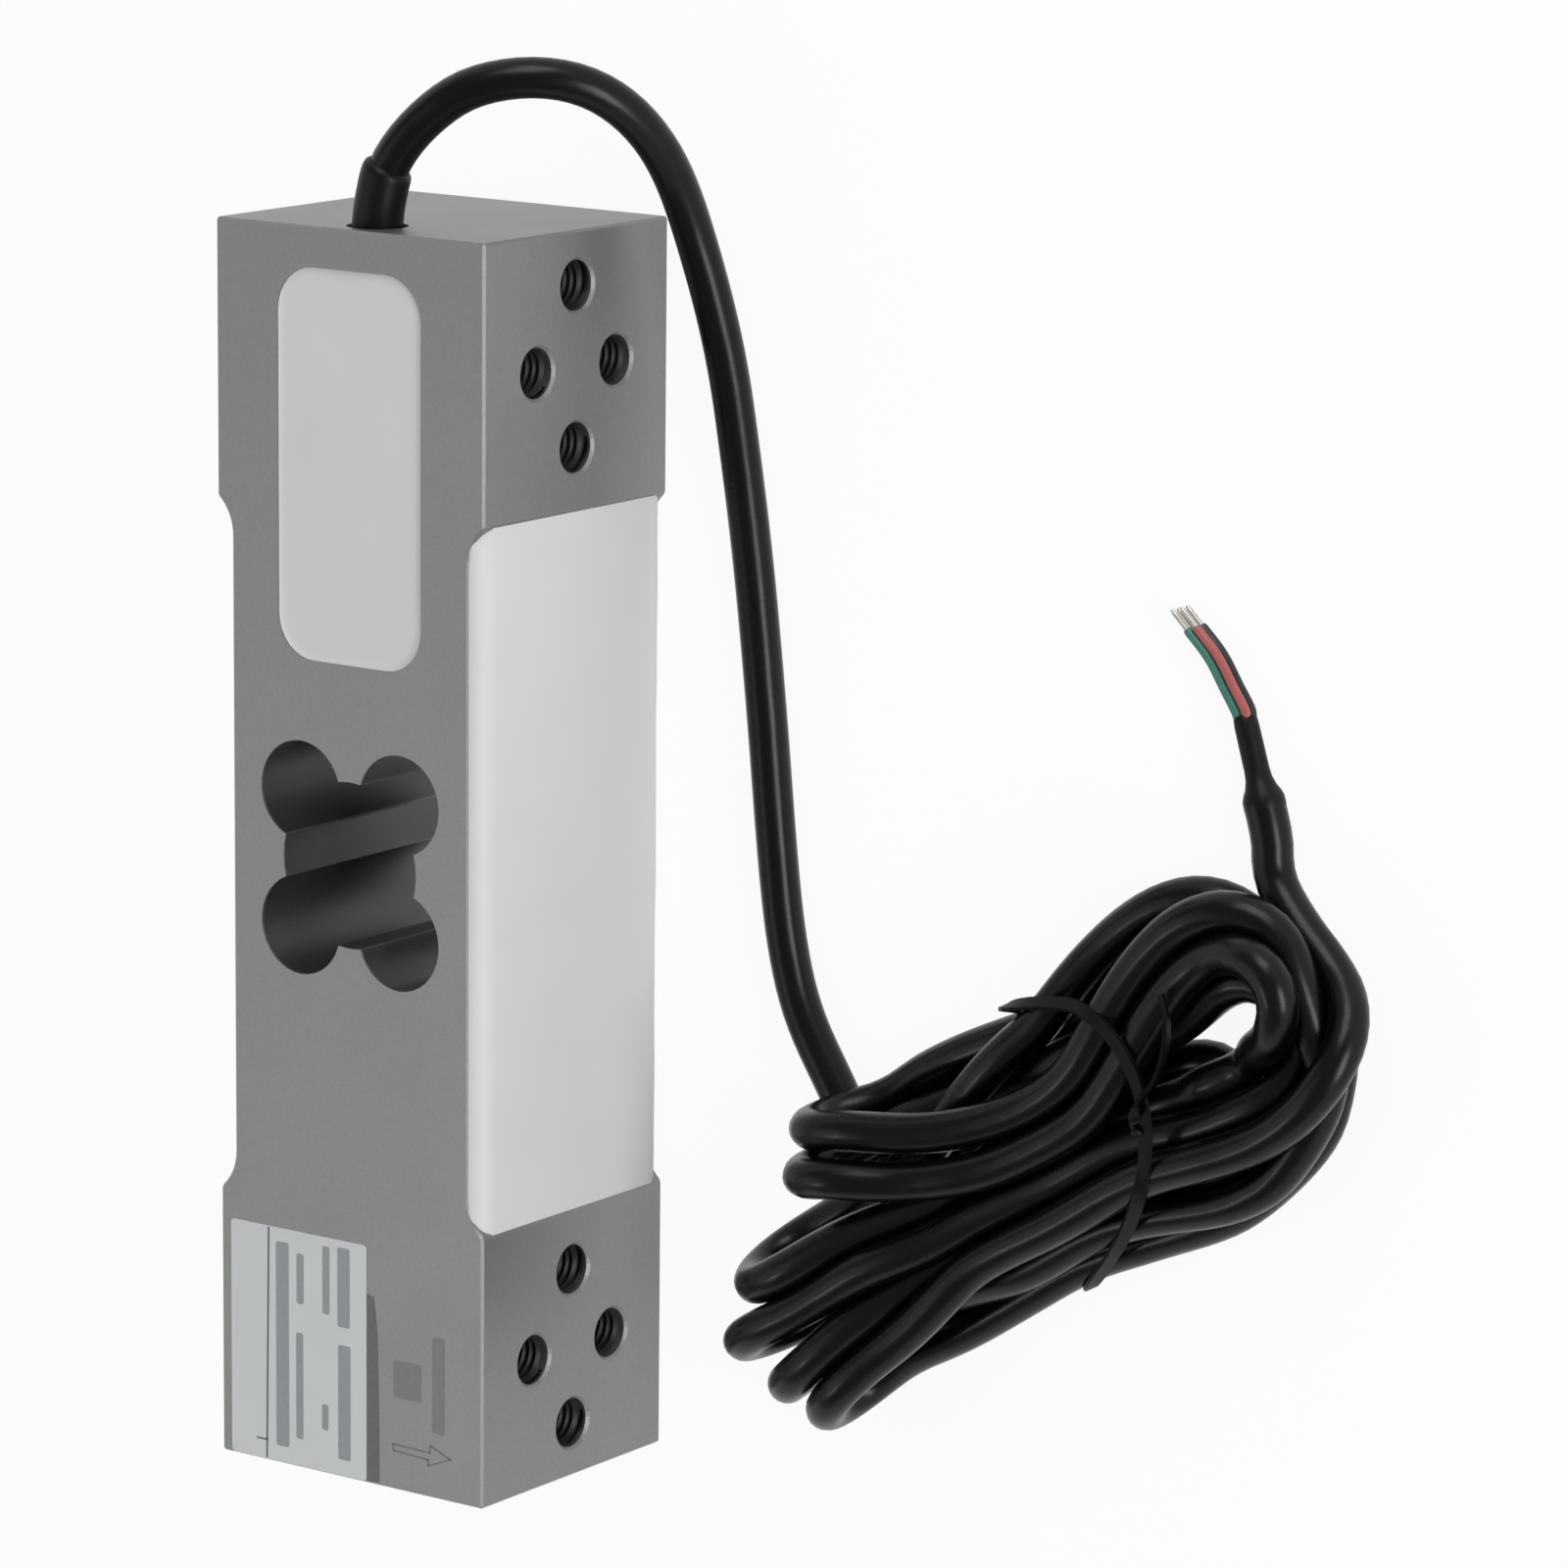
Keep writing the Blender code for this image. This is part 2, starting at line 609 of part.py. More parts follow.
def strain_gauge(name, side, place_x, parts, cutters):
    """A foil gauge bonded over a lobe: its backing, its grid and its two solder tabs."""
    low = GAUGE_FLOOR + FIT_GAP
    backing = rounded_rectangle(
        GAUGE_LENGTH, GAUGE_WIDTH, GAUGE_BACKING_CORNER_RADIUS, steps=SMALL_CORNER_STEPS
    )
    mesh = outline_mesh(name, [backing], low, low + GAUGE_THICKNESS)
    relief_size = 2 * GAUGE_RELIEF
    grid_x = GAUGE_MARGIN - (GAUGE_LENGTH - GAUGE_GRID_LENGTH) / 2
    tab_x = GAUGE_LENGTH / 2 - GAUGE_MARGIN - GAUGE_TAB_LENGTH / 2
    blocks = [("grid", (GAUGE_GRID_LENGTH, GAUGE_GRID_WIDTH, relief_size), (grid_x, 0.0))]
    for label, tab_side in (("first_tab", -1), ("second_tab", 1)):
        place = (tab_x, tab_side * GAUGE_TAB_SPACING / 2)
        blocks.append((label, (GAUGE_TAB_LENGTH, GAUGE_TAB_WIDTH, relief_size), place))
    frame = Matrix.Translation((place_x, 0.0, 0.0)) @ side_frame(side)
    mesh.transform(frame)
    gauge = add_object(name, mesh, parts, POLYIMIDE)
    for label, size, (x, y) in blocks:
        block = box_mesh(f"{name}_{label}", size, (x, y, low + GAUGE_THICKNESS))
        block.transform(frame)
        join(gauge, block, cutters)


def terminal_board(parts):
    """The board on the pocket's floor and the trimming resistors on it. Returns its upper face."""
    low = POCKET_FLOOR + FIT_GAP
    top = low + BOARD_THICKNESS
    board_start = POCKET_FREE_END + BOARD_FROM_POCKET_END
    centre = (board_start + BOARD_LENGTH / 2, 0.0)
    loop = rounded_rectangle(BOARD_LENGTH, BOARD_WIDTH, BOARD_CORNER_RADIUS, centre, SMALL_CORNER_STEPS)
    add_object("terminal_board", outline_mesh("terminal_board", [loop], low, top), parts, BOARD_GREEN)
    resistor_x = board_start + RESISTOR_FROM_BOARD_END + RESISTOR_LENGTH / 2
    for row, name in enumerate(("zero_trim_resistor", "span_trim_resistor", "zero_drift_resistor")):
        centre = (resistor_x, (row - 1) * RESISTOR_SPACING, top + FIT_GAP + RESISTOR_THICKNESS / 2)
        size = (RESISTOR_LENGTH, RESISTOR_WIDTH, RESISTOR_THICKNESS)
        add_object(name, box_mesh(name, size, centre), parts, RESISTOR_BLACK)
    return top


def eased_route(start, finish, shares):
    """Points between two places, each given by its shares of the way along X, Y and Z."""
    start = Vector(start)
    way = Vector(finish) - start
    return [start + Vector((way.x * share_x, way.y * share_y, way.z * share_z))
            for share_x, share_y, share_z in shares]


def gauge_wires(board_top, parts):
    """Each face's bridge wires, from between its gauges through the wire hole to the board."""
    start_x = LOBE_SPACING_X / 2 + GAUGE_LENGTH / 2 + GAUGE_MARGIN
    middle = BODY_THICKNESS / 2
    rest = board_top + FIT_GAP + GAUGE_WIRE_DIAMETER / 2
    floor = GAUGE_FLOOR + FIT_GAP + GAUGE_WIRE_DIAMETER / 2
    wall = POCKET_WIDTH / 2
    beside_resistors = RESISTOR_SPACING + RESISTOR_WIDTH / 2 + GAUGE_WIRE_CLEARANCE + GAUGE_WIRE_DIAMETER / 2
    turn_in = WIRE_HOLE_DIAMETER / 3
    for side, label in ((-1, "front"), (1, "rear")):
        on_face = eased_route(
            (start_x, side * floor, middle),
            (WIRE_HOLE_X, side * floor, WIRE_HOLE_HEIGHT),
            ((0.0, 0.0, 0.0), (0.4, 0.0, 0.45), (0.75, 0.0, 0.85)),
        )
        in_hole = (
            (WIRE_HOLE_X - turn_in, side * (floor - FIT_GAP), WIRE_HOLE_HEIGHT),
            (WIRE_HOLE_X, side * (GAUGE_FLOOR + wall) / 2, WIRE_HOLE_HEIGHT),
        )
        on_board = eased_route(
            (WIRE_HOLE_X, side * wall, WIRE_HOLE_HEIGHT),
            (WIRE_HOLE_X + GAUGE_WIRE_RUN_ON, side * beside_resistors, rest),
            ((0.03, 0.17, 0.22), (0.27, 0.75, 0.78), (0.58, 0.95, 1.0), (1.0, 1.0, 1.0)),
        )
        name = "gauge_wire_" + label
        route = smooth_route((*on_face, *in_hole, *on_board), 4 * GAUGE_WIRE_DIAMETER)
        add_object(name, tube_curve(name, route, GAUGE_WIRE_DIAMETER), parts, WIRE_ENAMEL)


def inner_cores(board_top, parts):
    """The cable's four cores, fanned out from the jacket's inner end down to the board."""
    rest = board_top + FIT_GAP + CORE_DIAMETER / 2
    start_x = HALF_LENGTH - JACKET_INSIDE - FIT_GAP
    half_pitch = CORE_PITCH / 2
    shares = ((0.0, 0.0, 0.0), (0.2, 0.25, 0.1), (0.47, 0.75, 0.5), (0.73, 1.0, 0.93), (1.0, 1.0, 1.0))
    layout = (("red", -1, 1, -3), ("black", 1, 1, 3), ("green", -1, -1, -1), ("white", 1, -1, 1))
    for name, side, level, rank in layout:
        start = (start_x, side * half_pitch, BORE_HEIGHT + level * half_pitch)
        landing = (start_x - INNER_CORE_RUN, rank * CORE_LANDING_PITCH / 2, rest)
        node = "inner_core_" + name
        route = smooth_route(eased_route(start, landing, shares), CORE_SPACING / 2)
        add_object(node, tube_curve(node, route, CORE_DIAMETER), parts, (CORE_COLOURS[name], 0.4, 0.0))


def pocket_seal(parts):
    top = BODY_TOP - POCKET_SEAL_SINK
    loop = rounded_rectangle(
        POCKET_LENGTH - 2 * FIT_GAP,
        POCKET_WIDTH - 2 * FIT_GAP,
        POCKET_CORNER_RADIUS - FIT_GAP,
        (POCKET_CENTRE_X, 0.0),
        POCKET_CORNER_STEPS,
    )
    mesh = outline_mesh("pocket_seal", [loop], top - POCKET_SEAL_THICKNESS, top)
    add_object("pocket_seal", mesh, parts, SILICONE)


def rating_label(parts):
    centre = (
        LABEL_FROM_END + LABEL_LENGTH / 2 - HALF_LENGTH,
        HALF_WIDTH - LABEL_FROM_SIDE - LABEL_WIDTH / 2,
    )
    loop = rounded_rectangle(LABEL_LENGTH, LABEL_WIDTH, LABEL_CORNER_RADIUS, centre, SMALL_CORNER_STEPS)
    low = BODY_TOP + FIT_GAP
    mesh = outline_mesh("rating_label", [loop], low, low + LABEL_THICKNESS)
    add_object("rating_label", mesh, parts, LABEL_FILM)


def place_along(route, distance):
    """The point at a distance along a route."""
    for first, second in zip(route, route[1:]):
        step = (second - first).length
        if distance <= step:
            return first.lerp(second, distance / step)
        distance -= step
    return route[-1]


def stretch(route, start, length, pieces=6):
    """The part of a route that begins a distance along it and runs on for a length."""
    return [place_along(route, start + length * index / pieces) for index in range(pieces + 1)]


def cable_lead(parts, cutters):
    jacket_end = (HALF_LENGTH - JACKET_INSIDE, 0.0, BORE_HEIGHT)
    in_bore = (HALF_LENGTH - POCKET_END_WALL, 0.0, BORE_HEIGHT)
    at_face = (HALF_LENGTH, 0.0, BORE_HEIGHT)
    route = smooth_route((jacket_end, in_bore, at_face, *LEAD_ROUTE), ROUTE_SPACING)
    add_object("cable_lead", tube_curve("cable_lead", route, CABLE_DIAMETER, 3), parts, CABLE_BLACK)
    sleeve_start = JACKET_INSIDE - SLEEVE_INSIDE
    outer_route = stretch(route, sleeve_start, SLEEVE_LENGTH)
    inner_route = stretch(route, sleeve_start - CUT_MARGIN, SLEEVE_LENGTH + 2 * CUT_MARGIN)
    outer = mesh_from_curve("cable_sleeve", tube_curve("cable_sleeve", outer_route, SLEEVE_DIAMETER, 4))
    sleeve = add_object("cable_sleeve", outer, parts, SLEEVE_BLACK)
    lumen = mesh_from_curve(
        "sleeve_lumen", tube_curve("sleeve_lumen", inner_route, CABLE_DIAMETER + 2 * FIT_GAP, 4)
    )
    cut(sleeve, lumen, cutters)
    shade_round(sleeve)


def tie_loop(half_width, height, radius):
    return rounded_rectangle(height, 2 * half_width, radius, (HANK_HEIGHT / 2, 0.0), 5)


def tie_frame():
    """Takes an outline's X to up, its Y across the hank and its thickness along the hank."""
    along = Vector((math.cos(TIE_ANGLE), math.sin(TIE_ANGLE), 0.0))
    up = Vector((0.0, 0.0, 1.0))
    across = along.cross(up)
    frame = Matrix((up, across, along)).transposed().to_4x4()
    frame.translation = (*TIE_CENTRE, 0.0)
    return frame


def cable_hank(parts, cutters):
    closed = [Vector((x, y, 0.0)) for x, y in HANK_OUTLINE]
    loop = []
    count = len(closed)
    for index in range(count):
        before, start, end, after = (closed[(index + offset) % count] for offset in (-1, 0, 1, 2))
        for step in range(HANK_OUTLINE_STEPS):
            t = step / HANK_OUTLINE_STEPS
            point = 0.5 * (
                2 * start + (end - before) * t
                + (2 * before - 5 * start + 4 * end - after) * t ** 2
                + (3 * start - before - 3 * end + after) * t ** 3
            )
            loop.append((point.x, point.y))
    hank = add_object("cable_hank", outline_mesh("cable_hank", [loop], 0.0, HANK_HEIGHT), parts, CABLE_BLACK)
    outer_height = HANK_HEIGHT - 2 * TIE_LIFT
    inner_half_width = TIE_HALF_WIDTH - TIE_THICKNESS
    inner_height = outer_height - 2 * TIE_THICKNESS
    inner_radius = TIE_CORNER_RADIUS - TIE_THICKNESS
    groove_inner = tie_loop(inner_half_width - FIT_GAP, inner_height - 2 * FIT_GAP, inner_radius - FIT_GAP)
    groove_outer = tie_loop(
        TIE_HALF_WIDTH + GROOVE_REACH, HANK_HEIGHT + GROOVE_REACH, TIE_CORNER_RADIUS
    )
    half_groove = TIE_BREADTH / 2 + FIT_GAP
    groove = outline_mesh("tie_groove", [groove_outer, groove_inner], -half_groove, half_groove)
    groove.transform(tie_frame())
    cut(hank, groove, cutters)
    tie_outer = tie_loop(TIE_HALF_WIDTH, outer_height, TIE_CORNER_RADIUS)
    tie_inner = tie_loop(inner_half_width, inner_height, inner_radius)
    tie = outline_mesh("cable_tie", [tie_outer, tie_inner], -TIE_BREADTH / 2, TIE_BREADTH / 2)
    tie.transform(tie_frame())
    add_object("cable_tie", tie, parts, SLEEVE_BLACK)


def cable_end(parts):
    """The tail out of the hank, the shrunk sleeve on its end and the four stripped cores."""
    tail = smooth_route(TAIL_ROUTE, ROUTE_SPACING / 2)
    add_object("cable_tail", tube_curve("cable_tail", tail, CABLE_DIAMETER, 3), parts, CABLE_BLACK)
    start = Vector(END_SLEEVE_START)
    axis = Vector(END_SLEEVE_END) - start
    thick = CABLE_DIAMETER / 2
    thin = END_SLEEVE_DIAMETER / 2
    profile = (
        (0.0, axis.length),
        (thin - END_SLEEVE_EDGE, axis.length),
        (thin, axis.length - END_SLEEVE_EDGE),
        (thin, END_SLEEVE_NECK),
        (thick - END_SLEEVE_EDGE, END_SLEEVE_SHOULDER),
        (thick, 0.0),
        (0.0, 0.0),
    )
    mesh = turned_mesh("end_sleeve", profile, 16)
    turn = axis.to_track_quat("Z", "Y").to_matrix().to_4x4()
    mesh.transform(Matrix.Translation(start) @ turn)
    sleeve = add_object("end_sleeve", mesh, parts, SLEEVE_BLACK)
    shade_round(sleeve)
    across = Vector((0, 0, 1)).cross(axis).normalized()
    places = {"red": (-1, 1), "black": (-1, -1), "green": (1, 1), "white": (1, -1)}
    for name, (side, level) in places.items():
        shift = across * side * CORE_PITCH / 2 + Vector((0, 0, level * CORE_PITCH / 2))
        route = [place + shift for place in smooth_route(CORE_ROUTE, CORE_SPACING)]
        curve = tube_curve("core_" + name, route, CORE_DIAMETER)
        add_object("core_" + name, curve, parts, (CORE_COLOURS[name], 0.4, 0.0))
        heading = (route[-1] - route[-2]).normalized()
        tip_start = route[-1] + heading * FIT_GAP
        tip_end = tip_start + heading * CONDUCTOR_LENGTH
        node = "conductor_" + name
        mesh = cylinder_mesh(node, CONDUCTOR_DIAMETER, tip_start, tip_end, 8)
        add_object(node, mesh, parts, TINNED_COPPER)


def build():
    clear_scene()
    parts = new_collection("single_point_load_cell")
    cutters = new_collection("cutters")
    spring_element(parts, cutters)
    for side, label in ((-1, "front"), (1, "rear")):
        seal, plug = gauge_seal(label, side, parts)
        join(seal, plug, cutters)
        for sign, end in ((1, "cable"), (-1, "free")):
            name = f"strain_gauge_{label}_{end}_end"
            strain_gauge(name, side, sign * LOBE_SPACING_X / 2, parts, cutters)
    board_top = terminal_board(parts)
    gauge_wires(board_top, parts)
    inner_cores(board_top, parts)
    pocket_seal(parts)
    rating_label(parts)
    cable_lead(parts, cutters)
    cable_hank(parts, cutters)
    cable_end(parts)


build()
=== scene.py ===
"""Finishes, seals, label, threads and wound cable of a single point load cell, a milled aluminium bar."""
import math

import bmesh
import bpy
import numpy as np
from bpy.props import FloatProperty, FloatVectorProperty, PointerProperty
from mathutils import Matrix, Vector


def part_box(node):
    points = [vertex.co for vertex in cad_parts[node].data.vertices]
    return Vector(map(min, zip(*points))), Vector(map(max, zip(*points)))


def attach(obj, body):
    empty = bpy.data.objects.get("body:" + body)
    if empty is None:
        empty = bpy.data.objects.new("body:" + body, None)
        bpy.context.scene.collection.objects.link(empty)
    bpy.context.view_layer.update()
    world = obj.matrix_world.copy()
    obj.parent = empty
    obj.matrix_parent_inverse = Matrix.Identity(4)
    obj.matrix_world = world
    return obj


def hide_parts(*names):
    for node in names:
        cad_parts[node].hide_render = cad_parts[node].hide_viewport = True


bl_info = {
    "name": "Single Point Load Cell",
    "version": (1, 0, 0),
    "blender": (4, 5, 0),
    "location": "3D View > Sidebar > Load Cell",
    "description": "Builds the seals, label, threads, wound cable and finishes of a load cell",
    "category": "Object",
}

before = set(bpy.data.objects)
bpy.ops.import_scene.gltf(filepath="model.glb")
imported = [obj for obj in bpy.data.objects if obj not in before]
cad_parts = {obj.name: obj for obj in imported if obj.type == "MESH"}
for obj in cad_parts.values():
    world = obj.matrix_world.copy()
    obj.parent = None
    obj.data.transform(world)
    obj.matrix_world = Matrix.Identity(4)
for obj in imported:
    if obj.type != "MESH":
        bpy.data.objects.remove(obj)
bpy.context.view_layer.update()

MM = 0.001
# Edges sharper than this stay sharp on a smooth piece.
SHARP_ANGLE = math.radians(38)

# The bar: X runs along it towards the cable, Y across its loading faces, Z up through its drilled side face.
HALF_WIDTH = 20 * MM
BAR_THICKNESS = 35 * MM
RECESS_END = 42 * MM
RECESS_DEPTH = 2.2 * MM
RECESS_CUTTER_RADIUS = 6 * MM
HOLE_CENTRE = 59 * MM
HOLE_HALF_SPACING_X = 9.5 * MM
HOLE_HALF_SPACING_Z = 7.5 * MM
CABLE_END_HOLE_DEPTH = 6.7 * MM
FREE_END_HOLE_DEPTH = 14.8 * MM
THREAD_ROOT_RADIUS = 3.03 * MM
THREAD_START = 0.45 * MM
POCKET_CORNER = 5.25 * MM
CUTOUT_BORE_RADIUS = 10.0 * MM
CUTOUT_LOBE_RADIUS = 6.0 * MM
CUTOUT_LOBE_X = 8.1 * MM
CUTOUT_LOBE_Y = 7.4 * MM

# The cable's route from its jacket's end inside the bar to the hank, and from the hank to the stripped end.
LEAD_ROUTE = (
    (0.064, 0.0, 0.0296), (0.0702, 0.0, 0.0296), (0.075, 0.0, 0.0296), (0.0787, -0.0006, 0.0296),
    (0.0822, -0.0017, 0.0294), (0.0872, -0.0056, 0.0286), (0.0914, -0.0114, 0.027),
    (0.0929, -0.0178, 0.0239), (0.0918, -0.0231, 0.0194), (0.0873, -0.0263, 0.014),
    (0.0813, -0.0273, 0.0091), (0.074, -0.0278, 0.0055), (0.0646, -0.0294, 0.0032),
    (0.0554, -0.0312, 0.0024), (0.0371, -0.0343, 0.0024), (0.0187, -0.0366, 0.0024),
    (0.0001, -0.0386, 0.0024), (-0.0092, -0.04, 0.0024), (-0.0183, -0.0427, 0.0024),
    (-0.0227, -0.0455, 0.0024), (-0.0273, -0.0493, 0.0024),
)
TAIL_ROUTE = (
    (0.0071, -0.1071, 0.0024), (0.01, -0.107, 0.0024), (0.013, -0.1065, 0.0024), (0.0159, -0.1056, 0.0024),
)

# The shrunk sleeve in the end face: where it starts and ends along the lead's route, the length of its
# rounded rim, the share of its wall that the rim loses, and the step from ring to ring.
SLEEVE_START = 7.0 * MM
SLEEVE_END = 18.6 * MM
SLEEVE_RIM = 1.2 * MM
SLEEVE_RIM_LOSS = 0.9
SLEEVE_STEP = 0.3 * MM

# The stripped end: its sleeve's two ends, the cores' route from there, how far each core lies from the middle
# of the four, how deep it starts in the sleeve, and its bared strands, which start inside the insulation.
END_SLEEVE_START = (0.0151, -0.1059, 0.0024)
END_SLEEVE_END = (0.0253, -0.1022, 0.0015)
CORE_ROUTE = (
    (0.0256, -0.1021, 0.0014), (0.0283, -0.1003, 0.0013), (0.0316, -0.0981, 0.0013),
    (0.0345, -0.0952, 0.0013),
)
CORE_OFFSET = 0.62 * MM
CORE_INSIDE = 0.6 * MM
STRANDS_INSIDE = 0.5 * MM
STRANDS_LENGTH = 3.4 * MM
STRANDS_RADIUS = 0.3 * MM
STRANDS_TIP_RADIUS = 0.2 * MM

# Each core's side of the middle, across and up, and its dark and light colour.
CORES = {
    "red": (-1, 1, "#9A4A48", "#AF5F5B"),
    "black": (-1, -1, "#16171A", "#212327"),
    "green": (1, 1, "#2F6B5E", "#417F71"),
    "white": (1, -1, "#C9D6D2", "#DCE6E2"),
}

# The hank's own axes: u runs from its tied waist to the eye of its ring, v across it, in mm.
WAIST = (-0.0232, -0.0849)
TOWARDS_EYE = (0.495, -0.869)
ACROSS = (0.869, 0.495)

# The cable's run from each fold at the far end, through the waist, round the eye and back to the next fold:
# u, v and the height of its middle above the table, in mm.
HANK_RUNS = (
    # From the lead: a low strand through the middle of the eye and back under the lower bands.
    ((-32.3, 9.8, 2.4), (-30.0, 6.6, 2.4), (-24.6, 4.6, 2.4), (-16.0, 4.4, 2.4), (-8.0, 3.9, 2.4),
     (0.0, 2.6, 2.4), (7.0, 1.7, 2.4), (12.0, 1.3, 2.4), (16.3, 0.0, 2.4), (19.0, -2.9, 2.4),
     (19.4, -6.6, 2.4), (17.4, -10.0, 2.4), (13.5, -11.9, 2.4), (8.0, -12.0, 2.4), (0.0, -10.9, 2.4),
     (-10.0, -8.9, 3.0), (-18.0, -8.0, 5.5), (-24.6, -8.4, 10.5), (-30.3, -9.4, 12.6), (-35.6, -10.6, 14.0)),
    # A band low on the waist's near side that rises to the top band of the ring.
    ((-36.0, -11.8, 2.4), (-27.9, -12.6, 4.0), (-19.4, -12.5, 5.6), (-11.6, -12.4, 6.6), (-1.9, -12.2, 6.8),
     (5.8, -12.3, 6.8), (11.0, -13.6, 6.8), (16.9, -14.7, 6.8), (21.6, -14.7, 6.6), (25.8, -13.2, 6.6),
     (30.7, -10.1, 7.0), (34.2, -5.8, 7.8), (36.3, 0.0, 8.8), (36.5, 5.8, 9.4), (34.9, 11.0, 9.8),
     (31.4, 14.1, 10.4), (26.8, 14.8, 10.6), (21.7, 13.8, 10.4), (17.1, 12.3, 10.4), (13.0, 10.0, 10.6),
     (9.5, 8.0, 10.8), (6.8, 5.8, 10.8), (3.0, 4.5, 10.8), (-1.8, 3.8, 11.0), (-8.1, 4.1, 11.6),
     (-13.7, 5.2, 12.6), (-19.0, 7.0, 13.8)),
    # A turn that lies on the table all round, and comes back to rest on the first.
    ((-19.5, 12.2, 3.0), (-12.0, 12.6, 2.4), (-5.0, 12.5, 2.4), (2.0, 11.6, 2.4), (9.0, 12.6, 2.4),
     (16.5, 13.2, 2.4), (22.5, 10.9, 2.4), (27.0, 6.6, 2.4), (29.4, 1.2, 2.4), (28.6, -4.4, 3.2),
     (24.6, -8.8, 4.8), (18.4, -10.6, 6.2), (11.0, -10.2, 6.6), (4.0, -9.2, 6.6), (-4.0, -7.4, 4.4),
     (-12.0, -5.6, 2.6), (-22.0, -4.6, 2.4), (-34.0, -4.4, 2.4)),
    # The inner turn at half height.
    ((-35.0, -5.7, 14.2), (-28.6, -5.4, 13.0), (-22.3, -5.4, 12.0), (-15.8, -5.3, 11.2), (-7.4, -5.7, 10.2),
     (-0.9, -5.4, 9.4), (5.4, -5.5, 8.6), (12.2, -6.6, 7.4), (18.8, -7.6, 7.0), (24.7, -7.3, 6.8),
     (29.0, -5.8, 6.6), (31.7, -2.0, 6.6), (32.2, 2.2, 6.8), (30.2, 5.5, 6.6), (25.5, 6.5, 6.0),
     (20.6, 5.8, 5.8), (15.8, 5.0, 5.8), (10.7, 5.4, 6.2), (4.5, 7.0, 6.4), (-3.7, 7.8, 6.0),
     (-10.0, 8.6, 4.6), (-18.0, 8.4, 3.2), (-23.8, 8.4, 5.0)),
    # The inner turn on top, which dips towards the eye's near side.
    ((-26.0, 4.2, 16.0), (-19.8, 1.3, 13.6), (-14.4, -0.2, 12.6), (-8.5, -1.2, 11.8), (-3.1, -1.5, 11.2),
     (1.9, -1.0, 11.0), (6.3, 0.7, 11.0), (9.5, 2.7, 11.0), (14.6, 5.1, 10.8), (19.2, 7.8, 10.4),
     (23.4, 9.6, 10.2), (27.8, 10.3, 10.2), (32.8, 9.4, 11.2), (35.9, 6.6, 11.6), (36.3, 2.4, 11.2),
     (33.6, -1.0, 9.6), (25.6, -2.5, 5.9), (20.4, -3.4, 4.9), (15.0, -3.3, 4.8), (10.2, -2.1, 5.4),
     (4.4, -1.3, 6.2), (-2.2, 0.2, 6.6), (-8.9, 1.5, 7.0), (-15.3, -0.2, 9.0), (-20.7, -1.7, 10.6),
     (-26.6, -2.0, 12.0), (-32.8, -1.6, 13.4), (-39.4, -1.6, 14.6)),
    # The ring's outline on its far side, down to the table at its end, and along the near outline.
    ((-35.0, 3.4, 2.8), (-26.0, 4.4, 4.8), (-15.9, 7.4, 6.6), (-9.8, 8.7, 6.8), (-5.2, 9.5, 6.8),
     (-0.3, 11.5, 6.6), (4.3, 13.7, 6.0), (9.2, 16.1, 5.4), (14.0, 17.5, 5.2), (19.4, 18.2, 5.2),
     (24.3, 17.8, 4.8), (28.1, 15.9, 4.0), (31.4, 12.0, 3.0), (33.6, 7.0, 2.4), (34.5, 1.8, 2.4),
     (33.6, -3.3, 2.4), (31.0, -7.7, 2.4), (27.2, -11.3, 2.4), (22.0, -14.3, 2.4), (16.3, -15.9, 2.4),
     (10.2, -16.7, 2.4), (6.4, -16.3, 2.4), (0.9, -15.4, 2.4), (-4.6, -14.8, 2.4), (-16.0, -14.9, 2.4),
     (-26.2, -15.0, 2.4), (-34.0, -15.7, 2.4)),
    # The last strand: on top of the waist, over the lower bands and round the ring's end to the tail.
    ((-37.0, -14.5, 13.6), (-30.6, -12.6, 12.6), (-24.2, -11.1, 11.9), (-18.2, -9.9, 11.4),
     (-8.7, -9.1, 11.0), (-1.7, -8.9, 10.9), (5.2, -8.6, 10.9), (9.1, -8.7, 11.0), (15.9, -10.1, 11.2),
     (22.0, -10.9, 11.2), (27.0, -10.9, 11.2), (31.6, -10.1, 11.0), (35.1, -7.5, 10.0), (36.8, -3.5, 8.4),
     (37.0, 1.2, 6.6), (35.8, 6.1, 4.8), (34.0, 10.4, 3.2)),
)
# The fold after each run but the last: its centre's u and v, the way it points in degrees, its radius, its
# centre's height, how far its lower strand stands aside, and whether the cable comes in on top.
HANK_FOLDS = (
    (-45.3, -12.8, -12.0, 6.3, 8.7, 2.0, True),
    (-27.2, 11.0, 14.0, 5.9, 9.4, 0.8, True),
    (-48.6, -6.3, -3.0, 6.4, 8.8, -0.6, False),
    (-29.2, 6.3, 10.0, 5.4, 12.2, 1.8, False),
    (-43.6, -2.0, 1.0, 6.4, 8.8, 4.3, True),
    (-42.2, -16.9, -16.0, 6.0, 8.4, 0.6, False),
)

# How the hank settles: its rounds, how often it looks again for strands that are near, the share of an
# overlap, a kink, the way home and a stretch that one round takes out, and the points held at either end.
SETTLE_ROUNDS = 240
LOOK_AGAIN = 20
OVERLAP_SHARE = 0.3
KINK_SHARE = 0.25
HOME_SHARE = 0.02
STRETCH_SHARE = 0.25
HELD_AT_BAR = 16
HELD_AT_TAIL = 4

# The tie's loop takes in the strands this near its leaning plane and this far either side of the waist.
LOOP_REACH = 1.6 * MM
LOOP_HALF_WIDTH = 19 * MM
LOOP_STEPS = 96
LOOP_SLACK = 0.1 * MM
# The ribbon's section, as shares of its width and of its thickness.
RIBBON_SECTION = ((-0.5, 0.2), (-0.4, 1.0), (0.4, 1.0), (0.5, 0.2), (0.4, 0.0), (-0.4, 0.0))
